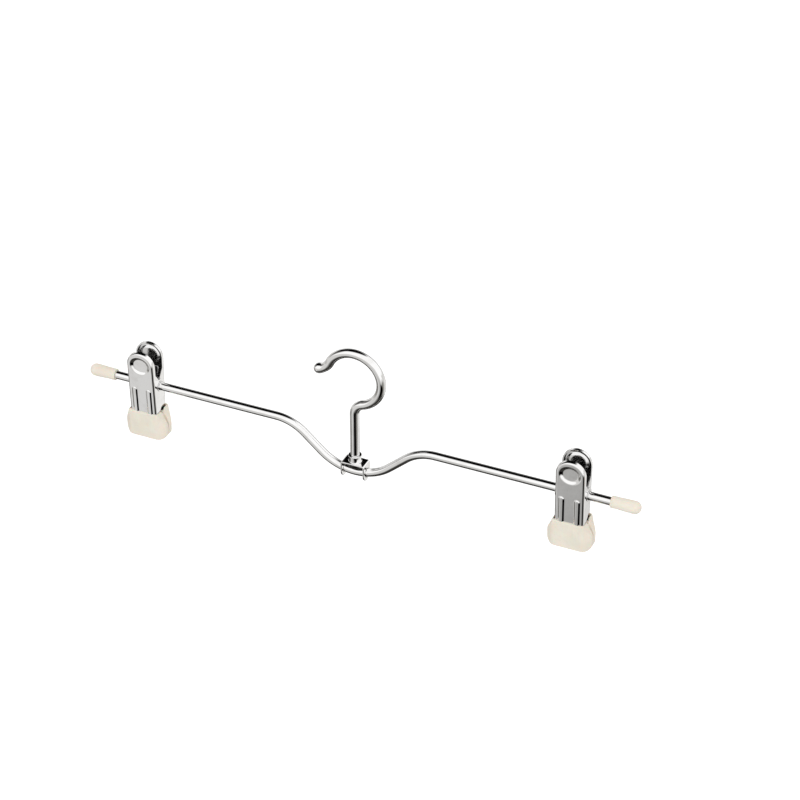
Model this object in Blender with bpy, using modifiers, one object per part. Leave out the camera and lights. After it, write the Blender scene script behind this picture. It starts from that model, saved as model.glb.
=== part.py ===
"""Trouser hanger: a swivel hook on a saddle, a wire bar with a dropped middle, and two sprung clips on it.

Metres, +Z up, +X along the bar. The origin is the inner top of the hook's loop, where it rests on its rail.
"""
import math

import bmesh
import bpy
import numpy as np
from mathutils import Matrix, Vector

MM = 0.001

# Clearances
RUNNING_GAP = 0.2 * MM
SEAT_GAP = 0.3 * MM
OVERSHOOT = 2.0 * MM

# Hook
HOOK_WIRE = 5.0 * MM
LOOP_RADIUS = 15.5 * MM
LOOP_ABOVE_BAR = 35.5 * MM
NECK_RADIUS = 7.0 * MM
FLARE_RADIUS = 8.7 * MM
FLARE_START = math.radians(155)
FLARE_TURN = math.radians(53.5)
TIP_BALL = 5.7 * MM
HEAD_DIAMETER = 7.4 * MM
HEAD_THICKNESS = 1.5 * MM
HEAD_EDGE = 0.5 * MM

# Bar
HANGER_LENGTH = 320.0 * MM
BAR_WIRE = 4.5 * MM
DIP_DEPTH = 22.5 * MM
DIP_RADIUS = 30.0 * MM
SHOULDER_RADIUS = 25.0 * MM
DIP_SLOPE = math.radians(41.5)

# End caps
CAP_LENGTH = 16.0 * MM
CAP_WALL = 0.6 * MM
CAP_TIP_SWELL = 0.25 * MM
CAP_SWELLS_FROM = 6.0 * MM
CAP_EDGE = 0.3 * MM
CAP_END_WALL = 1.6 * MM

# Saddle
SADDLE_LENGTH = 13.8 * MM
SADDLE_WIDTH = 7.9 * MM
SADDLE_SHEET = 0.9 * MM
SADDLE_ABOVE_DIP = 6.5 * MM
SADDLE_HEIGHT = 10.3 * MM
SADDLE_BEND = 1.3 * MM
COLLAR_HEIGHT = 4.0 * MM
COLLAR_WALL = 0.55 * MM
COLLAR_LIP = 0.35 * MM
COLLAR_LIP_HEIGHT = 0.5 * MM
COLLAR_LIP_TAPER = 0.4 * MM
COLLAR_FOOT = 0.4 * MM

# Clips
LEFT_CLIP_FROM_END = 34.8 * MM
RIGHT_CLIP_FROM_END = 36.8 * MM
JAW_SHEET = 0.7 * MM
JAW_WIDTH = 16.0 * MM
JAW_HALF_DEPTH = 6.8 * MM
JAW_RISE = 22.6 * MM
JAW_DROP = 28.0 * MM
JAW_LEAN = math.radians(2.0)
JAW_EDGE_RADIUS = 1.1 * MM
RIM_DEPTH = 2.6 * MM
RIM_ENDS_AT = 9.0 * MM
EAR_RADIUS = 4.2 * MM
EAR_LEAVES_AT = math.radians(102)
FLANGE_LAP = 0.6 * MM
FLANGE_FOOT = -12.0 * MM
NOTCH_DEPTH = 2.9 * MM
FLANGE_ABOVE_PAD = 0.4 * MM
RIB_OFFSET = 4.35 * MM
RIB_WIDTH = 2.6 * MM
RIB_HEIGHT = 0.45 * MM
RIB_EDGE = 0.36 * MM
GROOVE_INSET = 0.63 * MM
RIB_TOP = 0.6 * MM
RIB_FOOT = -25.0 * MM
DIMPLE_AT = 14.7 * MM
DIMPLE_WIDTH = 12.3 * MM
DIMPLE_HEIGHT = 11.0 * MM
DIMPLE_FLOOR = 0.66
DIMPLE_DEPTH = 1.0 * MM

# Pivot tubes and springs
TUBE_WALL = 0.35 * MM
TUBE_RIM = 0.3 * MM
TUBE_RIM_THICKNESS = 0.3 * MM
SPRING_WIRE = 1.1 * MM
SPRING_TURNS = 5.5
SPRING_PITCH = 1.62 * MM
SPRING_KNEE_RISE = 1.2 * MM
SPRING_LEG_RISE = 7.8 * MM
SPRING_FOOT = 2.4 * MM
SPRING_FOOT_BEND = 0.5 * MM
SPRING_FOOT_LIFT = 0.3 * MM
POINTS_PER_CURL = 9

# Pads
PAD_TOP = -15.4 * MM
PAD_BOTTOM = -32.2 * MM
PAD_NECK_WIDTH = 18.2 * MM
PAD_WIDTH = 24.6 * MM
PAD_FLARE_ENDS_AT = -25.0 * MM
PAD_CORNER = 3.2 * MM
PAD_SKIN = 0.9 * MM
PAD_WING_THICKNESS = 4.3 * MM
PAD_FACE_WIDTH = 17.0 * MM
PAD_SHOULDER = 1.5 * MM

# Worked-out places
BAR_Z = -(LOOP_ABOVE_BAR + LOOP_RADIUS - HOOK_WIRE / 2)
DIP_Z = BAR_Z - DIP_DEPTH
SADDLE_TOP = DIP_Z + SADDLE_ABOVE_DIP
TUBE_BORE = BAR_WIRE / 2 + RUNNING_GAP
TUBE_OUTER = TUBE_BORE + TUBE_WALL
EAR_HOLE = TUBE_OUTER + RUNNING_GAP
COIL_RADIUS = TUBE_OUTER + RUNNING_GAP + SPRING_WIRE / 2
LEFT_CLIP_AT = LEFT_CLIP_FROM_END - HANGER_LENGTH / 2
RIGHT_CLIP_AT = HANGER_LENGTH / 2 - RIGHT_CLIP_FROM_END
JAW_SHIFT = (JAW_SHEET + RUNNING_GAP) / 2
JAW_BEND_BACK = JAW_EDGE_RADIUS - JAW_HALF_DEPTH
TUBE_HALF = JAW_WIDTH / 2 + JAW_SHIFT + RUNNING_GAP + TUBE_RIM_THICKNESS
CAP_BORE = BAR_WIRE / 2 + SEAT_GAP
CAP_RADIUS = CAP_BORE + CAP_WALL

# Facets
ROUND_SIDES = 24
HOLE_SIDES = 24
CAP_SIDES = 20
BALL_RINGS = 8
WIRE_RESOLUTION = 4
SPRING_RESOLUTION = 1
HOOK_STEP = math.radians(9)
BAR_STEP = math.radians(7.2)
JAW_TOP_STEP = math.radians(11.25)
EAR_STEP = math.radians(15)
CORNER_STEP = math.radians(22.5)
END_STEP = math.radians(18)
SMALL_STEP = math.radians(30)
FLARE_STEPS = 6
SHARP_ANGLE = math.radians(35)

CHROME = ((0.80, 0.80, 0.81), 0.08, 1.0)
SPRING_STEEL = ((0.55, 0.55, 0.56), 0.25, 1.0)
CREAM_SILICONE = ((0.86, 0.82, 0.74), 0.55, 0.0)


def clear_scene():
    for thing in list(bpy.data.objects):
        bpy.data.objects.remove(thing, do_unlink=True)


def collection(name):
    group = bpy.data.collections.new(name)
    bpy.context.scene.collection.children.link(group)
    return group


def material(name, finish):
    colour, roughness, metallic = finish
    made = bpy.data.materials.new(name)
    made.use_nodes = True
    shader = made.node_tree.nodes["Principled BSDF"]
    shader.inputs["Base Color"].default_value = (*colour, 1.0)
    shader.inputs["Roughness"].default_value = roughness
    shader.inputs["Metallic"].default_value = metallic
    made.diffuse_color = (*colour, 1.0)
    return made


def link(thing, group):
    group.objects.link(thing)
    return thing


def hide(cutter):
    cutter.hide_render = True
    cutter.display_type = "WIRE"
    return cutter


def mesh_object(name, bm, group):
    bmesh.ops.recalc_face_normals(bm, faces=bm.faces[:])
    mesh = bpy.data.meshes.new(name)
    bm.to_mesh(mesh)
    bm.free()
    return link(bpy.data.objects.new(name, mesh), group)


def solid_from_curve(thing, group):
    """Replaces a curve by its evaluated mesh, with the caps welded on."""
    bpy.context.view_layer.update()
    graph = bpy.context.evaluated_depsgraph_get()
    mesh = bpy.data.meshes.new_from_object(thing.evaluated_get(graph))
    bm = bmesh.new()
    bm.from_mesh(mesh)
    bmesh.ops.remove_doubles(bm, verts=bm.verts[:], dist=0.005 * MM)
    bmesh.ops.recalc_face_normals(bm, faces=bm.faces[:])
    bm.to_mesh(mesh)
    bm.free()
    solid = bpy.data.objects.new(thing.name, mesh)
    solid.matrix_world = thing.matrix_world.copy()
    name = thing.name
    bpy.data.objects.remove(thing, do_unlink=True)
    solid.name = name
    return link(solid, group)


def wire(name, points, diameter, group, resolution=WIRE_RESOLUTION):
    """A round wire along a list of points."""
    curve = bpy.data.curves.new(name, "CURVE")
    curve.dimensions = "3D"
    curve.bevel_depth = diameter / 2
    curve.bevel_resolution = resolution
    curve.use_fill_caps = True
    spline = curve.splines.new("POLY")
    spline.points.add(len(points) - 1)
    for knot, place in zip(spline.points, points):
        knot.co = (*place, 1.0)
    thing = link(bpy.data.objects.new(name, curve), group)
    return solid_from_curve(thing, group)


def plate(name, outline, low, high, axis, group):
    """A flat outline made thick from low to high along X, Y or Z.

    The outline's two numbers are Y and Z for a plate along X, X and Z along Y, and X and Y along Z.
    """
    curve = bpy.data.curves.new(name, "CURVE")
    curve.dimensions = "2D"
    curve.fill_mode = "BOTH"
    curve.extrude = (high - low) / 2
    spline = curve.splines.new("POLY")
    spline.points.add(len(outline) - 1)
    for knot, (u, v) in zip(spline.points, outline):
        knot.co = (u, v, 0.0, 1.0)
    spline.use_cyclic_u = True
    thing = link(bpy.data.objects.new(name, curve), group)
    middle = (low + high) / 2
    turn = {
        "X": Matrix(((0, 0, 1, middle), (1, 0, 0, 0), (0, 1, 0, 0), (0, 0, 0, 1))),
        "Y": Matrix(((1, 0, 0, 0), (0, 0, -1, middle), (0, 1, 0, 0), (0, 0, 0, 1))),
        "Z": Matrix(((1, 0, 0, 0), (0, 1, 0, 0), (0, 0, 1, middle), (0, 0, 0, 1))),
    }[axis]
    thing.matrix_world = turn
    solid = solid_from_curve(thing, group)
    solid.data.transform(solid.matrix_world)
    solid.matrix_world = Matrix.Identity(4)
    return solid


def rod(name, radius, low, high, axis, group, sides=HOLE_SIDES, centre=(0.0, 0.0, 0.0)):
    """A cylinder along X, Y or Z from low to high, beside a centre line."""
    bm = bmesh.new()
    size = {"radius1": radius, "radius2": radius, "depth": high - low}
    bmesh.ops.create_cone(bm, cap_ends=True, segments=sides, **size)
    quarter = math.pi / 2
    turn = {"X": Matrix.Rotation(quarter, 4, "Y"), "Y": Matrix.Rotation(quarter, 4, "X"), "Z": Matrix()}
    along = {"X": Vector((1, 0, 0)), "Y": Vector((0, 1, 0)), "Z": Vector((0, 0, 1))}[axis]
    place = Matrix.Translation(Vector(centre) + along * (low + high) / 2) @ turn[axis]
    bmesh.ops.transform(bm, matrix=place, verts=bm.verts[:])
    return mesh_object(name, bm, group)


def block(name, low, high, group):
    """A box between two corners."""
    bm = bmesh.new()
    bmesh.ops.create_cube(bm, size=1.0)
    low, high = Vector(low), Vector(high)
    bmesh.ops.scale(bm, verts=bm.verts[:], vec=high - low)
    bmesh.ops.translate(bm, verts=bm.verts[:], vec=(low + high) / 2)
    return mesh_object(name, bm, group)


def ball(name, radius, centre, group):
    bm = bmesh.new()
    bmesh.ops.create_uvsphere(bm, u_segments=2 * BALL_RINGS, v_segments=BALL_RINGS, radius=radius)
    bmesh.ops.translate(bm, verts=bm.verts[:], vec=centre)
    return mesh_object(name, bm, group)


def turned(name, profile, group, sides=ROUND_SIDES):
    """A closed outline of (radius, height) pairs turned about Z, outer side first and top to bottom."""
    mesh = bpy.data.meshes.new(name)
    points = [(radius, 0.0, height) for radius, height in profile]
    count = len(points)
    edges = [(i, i + 1) for i in range(count - 1)]
    if min(profile[0][0], profile[-1][0]) > 0:
        edges.append((count - 1, 0))
    mesh.from_pydata(points, edges, [])
    thing = link(bpy.data.objects.new(name, mesh), group)
    screw = thing.modifiers.new("turn", "SCREW")
    screw.axis = "Z"
    screw.angle = 2 * math.pi
    screw.steps = sides
    screw.render_steps = sides
    screw.use_merge_vertices = True
    screw.merge_threshold = 0.00001
    return thing


def apply_modifiers(thing):
    bpy.context.view_layer.update()
    graph = bpy.context.evaluated_depsgraph_get()
    mesh = bpy.data.meshes.new_from_object(thing.evaluated_get(graph))
    thing.modifiers.clear()
    thing.data = mesh
    return thing


def boolean(thing, other, operation, group):
    """Joins, cuts or keeps what is common, and puts the used piece with the cutters."""
    change = thing.modifiers.new(operation.lower(), "BOOLEAN")
    change.operation = operation
    change.object = other
    change.solver = "EXACT"
    for home in list(other.users_collection):
        home.objects.unlink(other)
    group.objects.link(other)
    hide(other)
    return thing


def bevel_rim(thing, height, axis, radius, segments):
    """Rounds the edges that lie in the plane at one height along an axis."""
    index = "XYZ".index(axis)
    bm = bmesh.new()
    bm.from_mesh(thing.data)
    rim = [e for e in bm.edges if all(abs(v.co[index] - height) < 0.001 * MM for v in e.verts)]
    rim = [e for e in rim if len({round(f.normal[index], 3) for f in e.link_faces}) > 1]
    bmesh.ops.bevel(bm, geom=rim, offset=radius, segments=segments, profile=0.5, affect="EDGES")
    bm.to_mesh(thing.data)
    bm.free()
    return thing


def smooth(thing):
    thing.data.shade_smooth()
    thing.data.set_sharp_from_angle(angle=SHARP_ANGLE)
    return thing


def arc(centre, radius, start, end, step):
    """Points on an arc from one angle to another, both ends included."""
    count = max(2, math.ceil(abs(end - start) / step))
    angles = [start + (end - start) * i / count for i in range(count + 1)]
    return [(centre[0] + radius * math.cos(a), centre[1] + radius * math.sin(a)) for a in angles]


def joined(*stretches):
    """One list of points from several, without the doubles where they meet."""
    points = []
    for stretch in stretches:
        for point in stretch:
            if not points or math.dist(point, points[-1]) > 0.01 * MM:
                points.append(point)
    return points


def hook_route():
    """The hook's centre line in X and Z, from its ball tip round the loop and down the shank."""
    loop = (0.0, BAR_Z + LOOP_ABOVE_BAR)
    reach = LOOP_RADIUS + FLARE_RADIUS
    flare = (loop[0] + reach * math.cos(FLARE_START), loop[1] + reach * math.sin(FLARE_START))
    leaves = FLARE_START + math.pi
    drop = math.sqrt((LOOP_RADIUS + NECK_RADIUS) ** 2 - NECK_RADIUS**2)
    neck = (NECK_RADIUS, loop[1] - drop)
    meets = math.atan2(-drop, NECK_RADIUS)
    shank_end = SADDLE_TOP - SADDLE_SHEET - SEAT_GAP - HEAD_THICKNESS / 2
    return joined(
        arc(flare, FLARE_RADIUS, leaves - FLARE_TURN, leaves, HOOK_STEP),
        arc(loop, LOOP_RADIUS, FLARE_START, meets, HOOK_STEP),
        arc(neck, NECK_RADIUS, meets + math.pi, math.pi, HOOK_STEP),
        [(0.0, shank_end)],
    )


def make_hook(parts, cutters, chrome):
    route = hook_route()
    hook = wire("hook", [(x, 0.0, z) for x, z in route], HOOK_WIRE, parts)
    tip = ball("hook_tip_shape", TIP_BALL / 2, (route[0][0], 0.0, route[0][1]), cutters)
    boolean(hook, tip, "UNION", cutters)
    head_top = SADDLE_TOP - SADDLE_SHEET - SEAT_GAP
    head_foot = head_top - HEAD_THICKNESS
    head = rod("hook_head_shape", HEAD_DIAMETER / 2, head_foot, head_top, "Z", cutters)
    bevel_rim(head, head_foot, "Z", HEAD_EDGE, 2)
    boolean(hook, head, "UNION", cutters)
    hook.data.materials.append(chrome)
    return hook


def dip_arcs():
    """Centres of the right half's two arcs, and where the straight arm begins."""
    both = DIP_RADIUS + SHOULDER_RADIUS
    straight = (DIP_DEPTH - both * (1 - math.cos(DIP_SLOPE))) / math.sin(DIP_SLOPE)
    arm_starts = both * math.sin(DIP_SLOPE) + straight * math.cos(DIP_SLOPE)
    return (0.0, DIP_Z + DIP_RADIUS), (arm_starts, BAR_Z - SHOULDER_RADIUS), arm_starts


def bar_height(x):
    """Height of the bar's centre line near the middle of the dip."""
    return DIP_Z + DIP_RADIUS - math.sqrt(DIP_RADIUS**2 - x**2)


def bar_end():
    return HANGER_LENGTH / 2 - CAP_END_WALL - SEAT_GAP


def make_bar(parts, chrome):
    dip, shoulder, arm_starts = dip_arcs()
    half = joined(
        arc(dip, DIP_RADIUS, -math.pi / 2, DIP_SLOPE - math.pi / 2, BAR_STEP),
        arc(shoulder, SHOULDER_RADIUS, math.pi / 2 + DIP_SLOPE, math.pi / 2, BAR_STEP),
        [(bar_end(), BAR_Z)],
    )
    route = [(-x, z) for x, z in reversed(half)][:-1] + half
    bar = wire("bar", [(x, 0.0, z) for x, z in route], BAR_WIRE, parts)
    bar.data.materials.append(chrome)
    return bar


def make_end_cap(name, side, parts, rubber):
    """A cap pushed on the bar's end, drawn standing up and then laid along the bar."""
    tip = CAP_RADIUS + CAP_TIP_SWELL
    profile = joined(
        arc((0.0, CAP_LENGTH - tip), tip, math.pi / 2, 0.0, END_STEP),
        [(CAP_RADIUS, CAP_SWELLS_FROM), (CAP_RADIUS, CAP_EDGE)],
        [(CAP_RADIUS - CAP_EDGE, 0.0), (CAP_BORE, 0.0)],
        [(CAP_BORE, CAP_LENGTH - CAP_END_WALL), (0.0, CAP_LENGTH - CAP_END_WALL)],
    )
    cap = turned(name, profile, parts, sides=CAP_SIDES)
    mouth = HANGER_LENGTH / 2 - CAP_LENGTH
    lying = Matrix.Rotation(side * math.pi / 2, 4, "Y")
    cap.matrix_world = Matrix.Translation((side * mouth, 0.0, BAR_Z)) @ lying
    cap.data.materials.append(rubber)
    return cap


def make_saddle(parts, cutters, chrome):
    """A bent strip with a collar for the hook on top and a bar hole in each of its two tabs."""
    half = SADDLE_LENGTH / 2
    foot = SADDLE_TOP - SADDLE_HEIGHT
    inner = SADDLE_BEND - SADDLE_SHEET
    bend = (half - SADDLE_BEND, SADDLE_TOP - SADDLE_BEND)
    right = joined(
        arc(bend, SADDLE_BEND, math.pi / 2, 0.0, SMALL_STEP),
        [(half, foot), (half - SADDLE_SHEET, foot)],
        arc(bend, inner, 0.0, math.pi / 2, SMALL_STEP),
    )
    left = [(-x, z) for x, z in reversed(right)]
    width = SADDLE_WIDTH / 2
    saddle = plate("saddle_bracket", left + right, -width, width, "Y", parts)
    ends = joined(
        [(-width, SADDLE_TOP + OVERSHOOT)],
        arc((0.0, foot + width), width, math.pi, 2 * math.pi, END_STEP),
        [(width, SADDLE_TOP + OVERSHOOT)],
    )
    end_shape = plate("saddle_end_shape", ends, -half - OVERSHOOT, half + OVERSHOOT, "X", cutters)
    boolean(saddle, end_shape, "INTERSECT", cutters)
    bore = HOOK_WIRE / 2 + RUNNING_GAP
    outer = bore + COLLAR_WALL
    rise = SADDLE_TOP + COLLAR_HEIGHT
    sunk = SADDLE_TOP - SADDLE_SHEET / 2
    profile = [
        (outer + COLLAR_LIP, rise),
        (outer + COLLAR_LIP, rise - COLLAR_LIP_HEIGHT),
        (outer, rise - COLLAR_LIP_HEIGHT - COLLAR_LIP_TAPER),
        (outer, SADDLE_TOP + COLLAR_FOOT),
        (outer + COLLAR_FOOT, SADDLE_TOP),
        (outer + COLLAR_FOOT, sunk),
        (bore - RUNNING_GAP, sunk),
        (bore - RUNNING_GAP, rise),
    ]
    collar = apply_modifiers(turned("saddle_collar_shape", profile, cutters))
    boolean(saddle, collar, "UNION", cutters)
    shank = rod("saddle_bore", bore, sunk - OVERSHOOT, rise + OVERSHOOT, "Z", cutters)
    boolean(saddle, shank, "DIFFERENCE", cutters)
    tab = half - SADDLE_SHEET / 2
    bar_slope = math.asin(tab / DIP_RADIUS)
    hole = BAR_WIRE / 2 / math.cos(bar_slope) + SEAT_GAP + SADDLE_SHEET / 2 * math.tan(bar_slope)
    reach = half + OVERSHOOT
    bar_hole = rod("saddle_bar_hole", hole, -reach, reach, "X", cutters, centre=(0, 0, bar_height(tab)))
    boolean(saddle, bar_hole, "DIFFERENCE", cutters)
    saddle.data.materials.append(chrome)
    return saddle


def jaw_outline(inset, foot):
    """Front view of a jaw plate: straight sides and a round top."""
    half = JAW_WIDTH / 2 - inset
    top = JAW_RISE - JAW_WIDTH / 2
    return joined([(-half, foot), (half, foot)], arc((0.0, top), half, 0.0, math.pi, JAW_TOP_STEP))


def jaw_side():
    """Side view of a jaw: the face, the rim, the ear round the pivot and the flange down to the notch."""
    front = -JAW_HALF_DEPTH - RIB_HEIGHT - OVERSHOOT
    rim = -JAW_HALF_DEPTH + RIM_DEPTH
    foot = PAD_TOP + FLANGE_ABOVE_PAD
    lap = math.asin(FLANGE_LAP / EAR_RADIUS) - math.pi / 2
    return joined(
        [(front, JAW_RISE + OVERSHOOT), (front, -JAW_DROP - OVERSHOOT)],
        [(JAW_BEND_BACK, -JAW_DROP - OVERSHOOT), (JAW_BEND_BACK, foot)],
        [(FLANGE_LAP - NOTCH_DEPTH, foot), (FLANGE_LAP, FLANGE_FOOT)],
        arc((0.0, 0.0), EAR_RADIUS, lap, EAR_LEAVES_AT, EAR_STEP),
        [(rim, RIM_ENDS_AT), (rim, JAW_RISE + OVERSHOOT)],
    )


def dish(name, face, low, high, spread, group):
    """A slice of the thumb dimple's tapered oval, from low to high in depth behind a face of the sheet."""
    taper = DIMPLE_WIDTH / 2 * (1 - DIMPLE_FLOOR) / DIMPLE_DEPTH
    wide, narrow = [DIMPLE_WIDTH / 2 + spread - taper * depth for depth in (low, high)]
    bm = bmesh.new()
    size = {"radius1": narrow, "radius2": wide, "depth": high - low}
    bmesh.ops.create_cone(bm, cap_ends=True, segments=HOLE_SIDES, **size)
    bmesh.ops.scale(bm, verts=bm.verts[:], vec=(1.0, DIMPLE_HEIGHT / DIMPLE_WIDTH, 1.0))
    middle = Matrix.Translation((0.0, face + (low + high) / 2, DIMPLE_AT))
    bmesh.ops.transform(bm, matrix=middle @ Matrix.Rotation(math.pi / 2, 4, "X"), verts=bm.verts[:])
    return mesh_object(name, bm, group)


def rib_outline(inset, x):
    half = RIB_WIDTH / 2 - inset
    foot = RIB_FOOT + inset
    top = arc((x, RIB_TOP - RIB_WIDTH / 2), half, 0.0, math.pi, SMALL_STEP)
    return joined([(x - half, foot), (x + half, foot)], top)


def make_jaw(name, parts, cutters, chrome):
    """One jaw pressing in its own frame: face towards -Y, pivot axis through the origin."""
    face = -JAW_HALF_DEPTH
    reach = EAR_RADIUS + OVERSHOOT
    jaw = plate(name, jaw_outline(0.0, -JAW_DROP), face, reach, "Y", parts)
    bevel_rim(jaw, face, "Y", JAW_EDGE_RADIUS, 3)
    inner = face + JAW_SHEET
    hollow = jaw_outline(JAW_SHEET, -JAW_DROP - OVERSHOOT)
    hollow = plate(name + "_hollow", hollow, inner, reach + OVERSHOOT, "Y", cutters)
    bevel_rim(hollow, inner, "Y", JAW_EDGE_RADIUS - JAW_SHEET, 2)
    boolean(jaw, hollow, "DIFFERENCE", cutters)
    wide = JAW_WIDTH / 2 + OVERSHOOT
    boolean(jaw, plate(name + "_side", jaw_side(), -wide, wide, "X", cutters), "INTERSECT", cutters)
    for side in (-1, 1):
        x = side * RIB_OFFSET
        top = face - RIB_HEIGHT
        rib = plate(f"{name}_rib_{side}", rib_outline(0.0, x), top, face + JAW_SHEET / 2, "Y", cutters)
        bevel_rim(rib, top, "Y", RIB_EDGE, 2)
        boolean(jaw, rib, "UNION", cutters)
        groove = rib_outline(GROOVE_INSET, x)
        groove = plate(f"{name}_groove_{side}", groove, top + JAW_SHEET, inner + OVERSHOOT, "Y", cutters)
        boolean(jaw, groove, "DIFFERENCE", cutters)
    bulge = dish(name + "_bulge", inner, -JAW_SHEET / 2, DIMPLE_DEPTH, JAW_SHEET / 2, cutters)
    boolean(jaw, bulge, "UNION", cutters)
    dimple = dish(name + "_dimple", face, -OVERSHOOT, DIMPLE_DEPTH, 0.0, cutters)
    boolean(jaw, dimple, "DIFFERENCE", cutters)
    pivot_hole = rod(name + "_pivot_hole", EAR_HOLE, -wide, wide, "X", cutters)
    boolean(jaw, pivot_hole, "DIFFERENCE", cutters)
    apply_modifiers(jaw)
    jaw.data.transform(Matrix.Rotation(JAW_LEAN, 4, "X") @ Matrix.Translation((JAW_SHIFT, 0.0, 0.0)))
    jaw.data.materials.append(chrome)
    return jaw


def pad_front_view():
    neck = PAD_NECK_WIDTH / 2
    half = PAD_WIDTH / 2
    flare = half - neck
    drop = PAD_TOP - PAD_FLARE_ENDS_AT
    shares = [i / FLARE_STEPS for i in range(FLARE_STEPS + 1)]
    side = [(neck + flare * (1 - math.cos(math.pi * s)) / 2, PAD_TOP - drop * s) for s in shares]
    centre = (half - PAD_CORNER, PAD_BOTTOM + PAD_CORNER)
    right = joined(side, arc(centre, PAD_CORNER, 0.0, -math.pi / 2, CORNER_STEP))
    return right + [(-x, z) for x, z in reversed(right)]


def fillet(corner, before, after, radius):
    """An arc in place of a corner, between the directions of its two neighbours."""
    corner, before, after = Vector(corner), Vector(before), Vector(after)
    back, ahead = (before - corner).normalized(), (after - corner).normalized()
    half = math.acos(max(-1.0, min(1.0, back.dot(ahead)))) / 2
    centre = corner + (back + ahead).normalized() * radius / math.sin(half)
    starts = corner + back * radius / math.tan(half) - centre
    ends = corner + ahead * radius / math.tan(half) - centre
    turn = starts.angle_signed(ends)
    first = math.atan2(starts.y, starts.x)
    return arc(centre, radius, first, first - turn, CORNER_STEP)


def pad_section():
    """Top view of a pad's front: flat over the jaw plate and thinner towards its wings."""
    front = -(JAW_HALF_DEPTH + PAD_SKIN)
    half = PAD_WIDTH / 2 + OVERSHOOT
    face = PAD_FACE_WIDTH / 2
    slope = (-PAD_WING_THICKNESS - front) / (PAD_WIDTH / 2 - face)
    wing = front + slope * (half - face)
    left = fillet((-face, front), (-half, wing), (face, front), PAD_SHOULDER)
    right = fillet((face, front), (-face, front), (half, wing), PAD_SHOULDER)
    return joined([(-half, wing)], left, right, [(half, wing), (half, OVERSHOOT), (-half, OVERSHOOT)])


def make_pad(name, parts, cutters, rubber):
    """A sleeve over the lower end of a jaw, in the jaw's own frame; its gripping face is upright."""
    lean = Matrix.Rotation(JAW_LEAN, 4, "X")
    deep = JAW_HALF_DEPTH + PAD_SKIN + OVERSHOOT
    pad = plate(name, pad_front_view(), -deep, -SEAT_GAP / 2, "Y", parts)
    under, over = PAD_BOTTOM - OVERSHOOT, PAD_TOP + OVERSHOOT
    section = plate(name + "_section", pad_section(), under, over, "Z", cutters)
    section.data.transform(lean)
    boolean(pad, section, "INTERSECT", cutters)
    lip = NOTCH_DEPTH - FLANGE_LAP
    chamfer = [(-lip - OVERSHOOT, over), (0.0, PAD_TOP - lip), (OVERSHOOT, PAD_TOP - lip), (OVERSHOOT, over)]
    chamfer = plate(name + "_chamfer", chamfer, -PAD_WIDTH, PAD_WIDTH, "X", cutters)
    boolean(pad, chamfer, "DIFFERENCE", cutters)
    half = JAW_WIDTH / 2 + RUNNING_GAP
    front = -JAW_HALF_DEPTH - RUNNING_GAP
    back = JAW_BEND_BACK + RUNNING_GAP
    rooms = [block(name + "_slot", (-half, front, -JAW_DROP - SEAT_GAP), (half, back, over), cutters)]
    for side in (-1, 1):
        rib = side * RIB_OFFSET
        wide = RIB_WIDTH / 2 + RUNNING_GAP
        low = (rib - wide, front - RIB_HEIGHT, RIB_FOOT - SEAT_GAP)
        rooms.append(block(f"{name}_rib_room_{side}", low, (rib + wide, back, over), cutters))
    for room in rooms:
        room.data.transform(lean @ Matrix.Translation((JAW_SHIFT, 0.0, 0.0)))
        boolean(pad, room, "DIFFERENCE", cutters)
    apply_modifiers(pad)
    pad.data.materials.append(rubber)
    return pad


def spring_route():
    """A torsion spring about X: down the front leg, round the coil and up the back leg."""
    half = SPRING_PITCH * SPRING_TURNS / 2
    count = math.ceil(SPRING_TURNS * POINTS_PER_CURL)
    coil = []
    for i in range(count + 1):
        share = i / count
        angle = math.pi + 2 * math.pi * SPRING_TURNS * share
        x = -half + 2 * half * share
        coil.append((x, COIL_RADIUS * math.cos(angle), COIL_RADIUS * math.sin(angle)))
    rest = JAW_HALF_DEPTH - JAW_SHEET - RUNNING_GAP - SPRING_WIRE / 2
    reach = rest + SPRING_LEG_RISE * math.tan(JAW_LEAN)
    top = SPRING_LEG_RISE + SPRING_FOOT_LIFT
    legs = []
    for side, (x, _, _) in ((-1, coil[0]), (1, coil[-1])):
        knee = (x, side * COIL_RADIUS, SPRING_KNEE_RISE)
        seat = (x, side * reach, SPRING_LEG_RISE)
        bend = (x - side * SPRING_FOOT_BEND, side * reach, top)
        foot = (x - side * SPRING_FOOT, side * reach, top)
        legs.append([foot, bend, seat, knee])
    front, back = legs
    return front + coil + list(reversed(back))


def least_gap(points, diameter):
    """Smallest distance between stretches of the wire that aren't neighbours, surface to surface."""
    places = []
    for a, b in zip(points, points[1:]):
        a, b = np.array(a), np.array(b)
        pieces = max(1, math.ceil(np.linalg.norm(b - a) / (0.2 * MM)))
        places += [a + (b - a) * i / pieces for i in range(pieces)]
    places = np.array(places + [np.array(points[-1])])
    along = np.concatenate([[0.0], np.cumsum(np.linalg.norm(np.diff(places, axis=0), axis=1))])
    apart = np.linalg.norm(places[:, None] - places[None], axis=2)
    far = np.abs(along[:, None] - along[None]) > 4 * diameter
    return float(apart[far].min() - diameter)


def make_spring(name, parts, steel):
    route = spring_route()
    spring = wire(name, route, SPRING_WIRE, parts, SPRING_RESOLUTION)
    spring.data.materials.append(steel)
    print(f"{name}: least gap to itself {least_gap(route, SPRING_WIRE) / MM:.2f} mm")
    return spring


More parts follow.
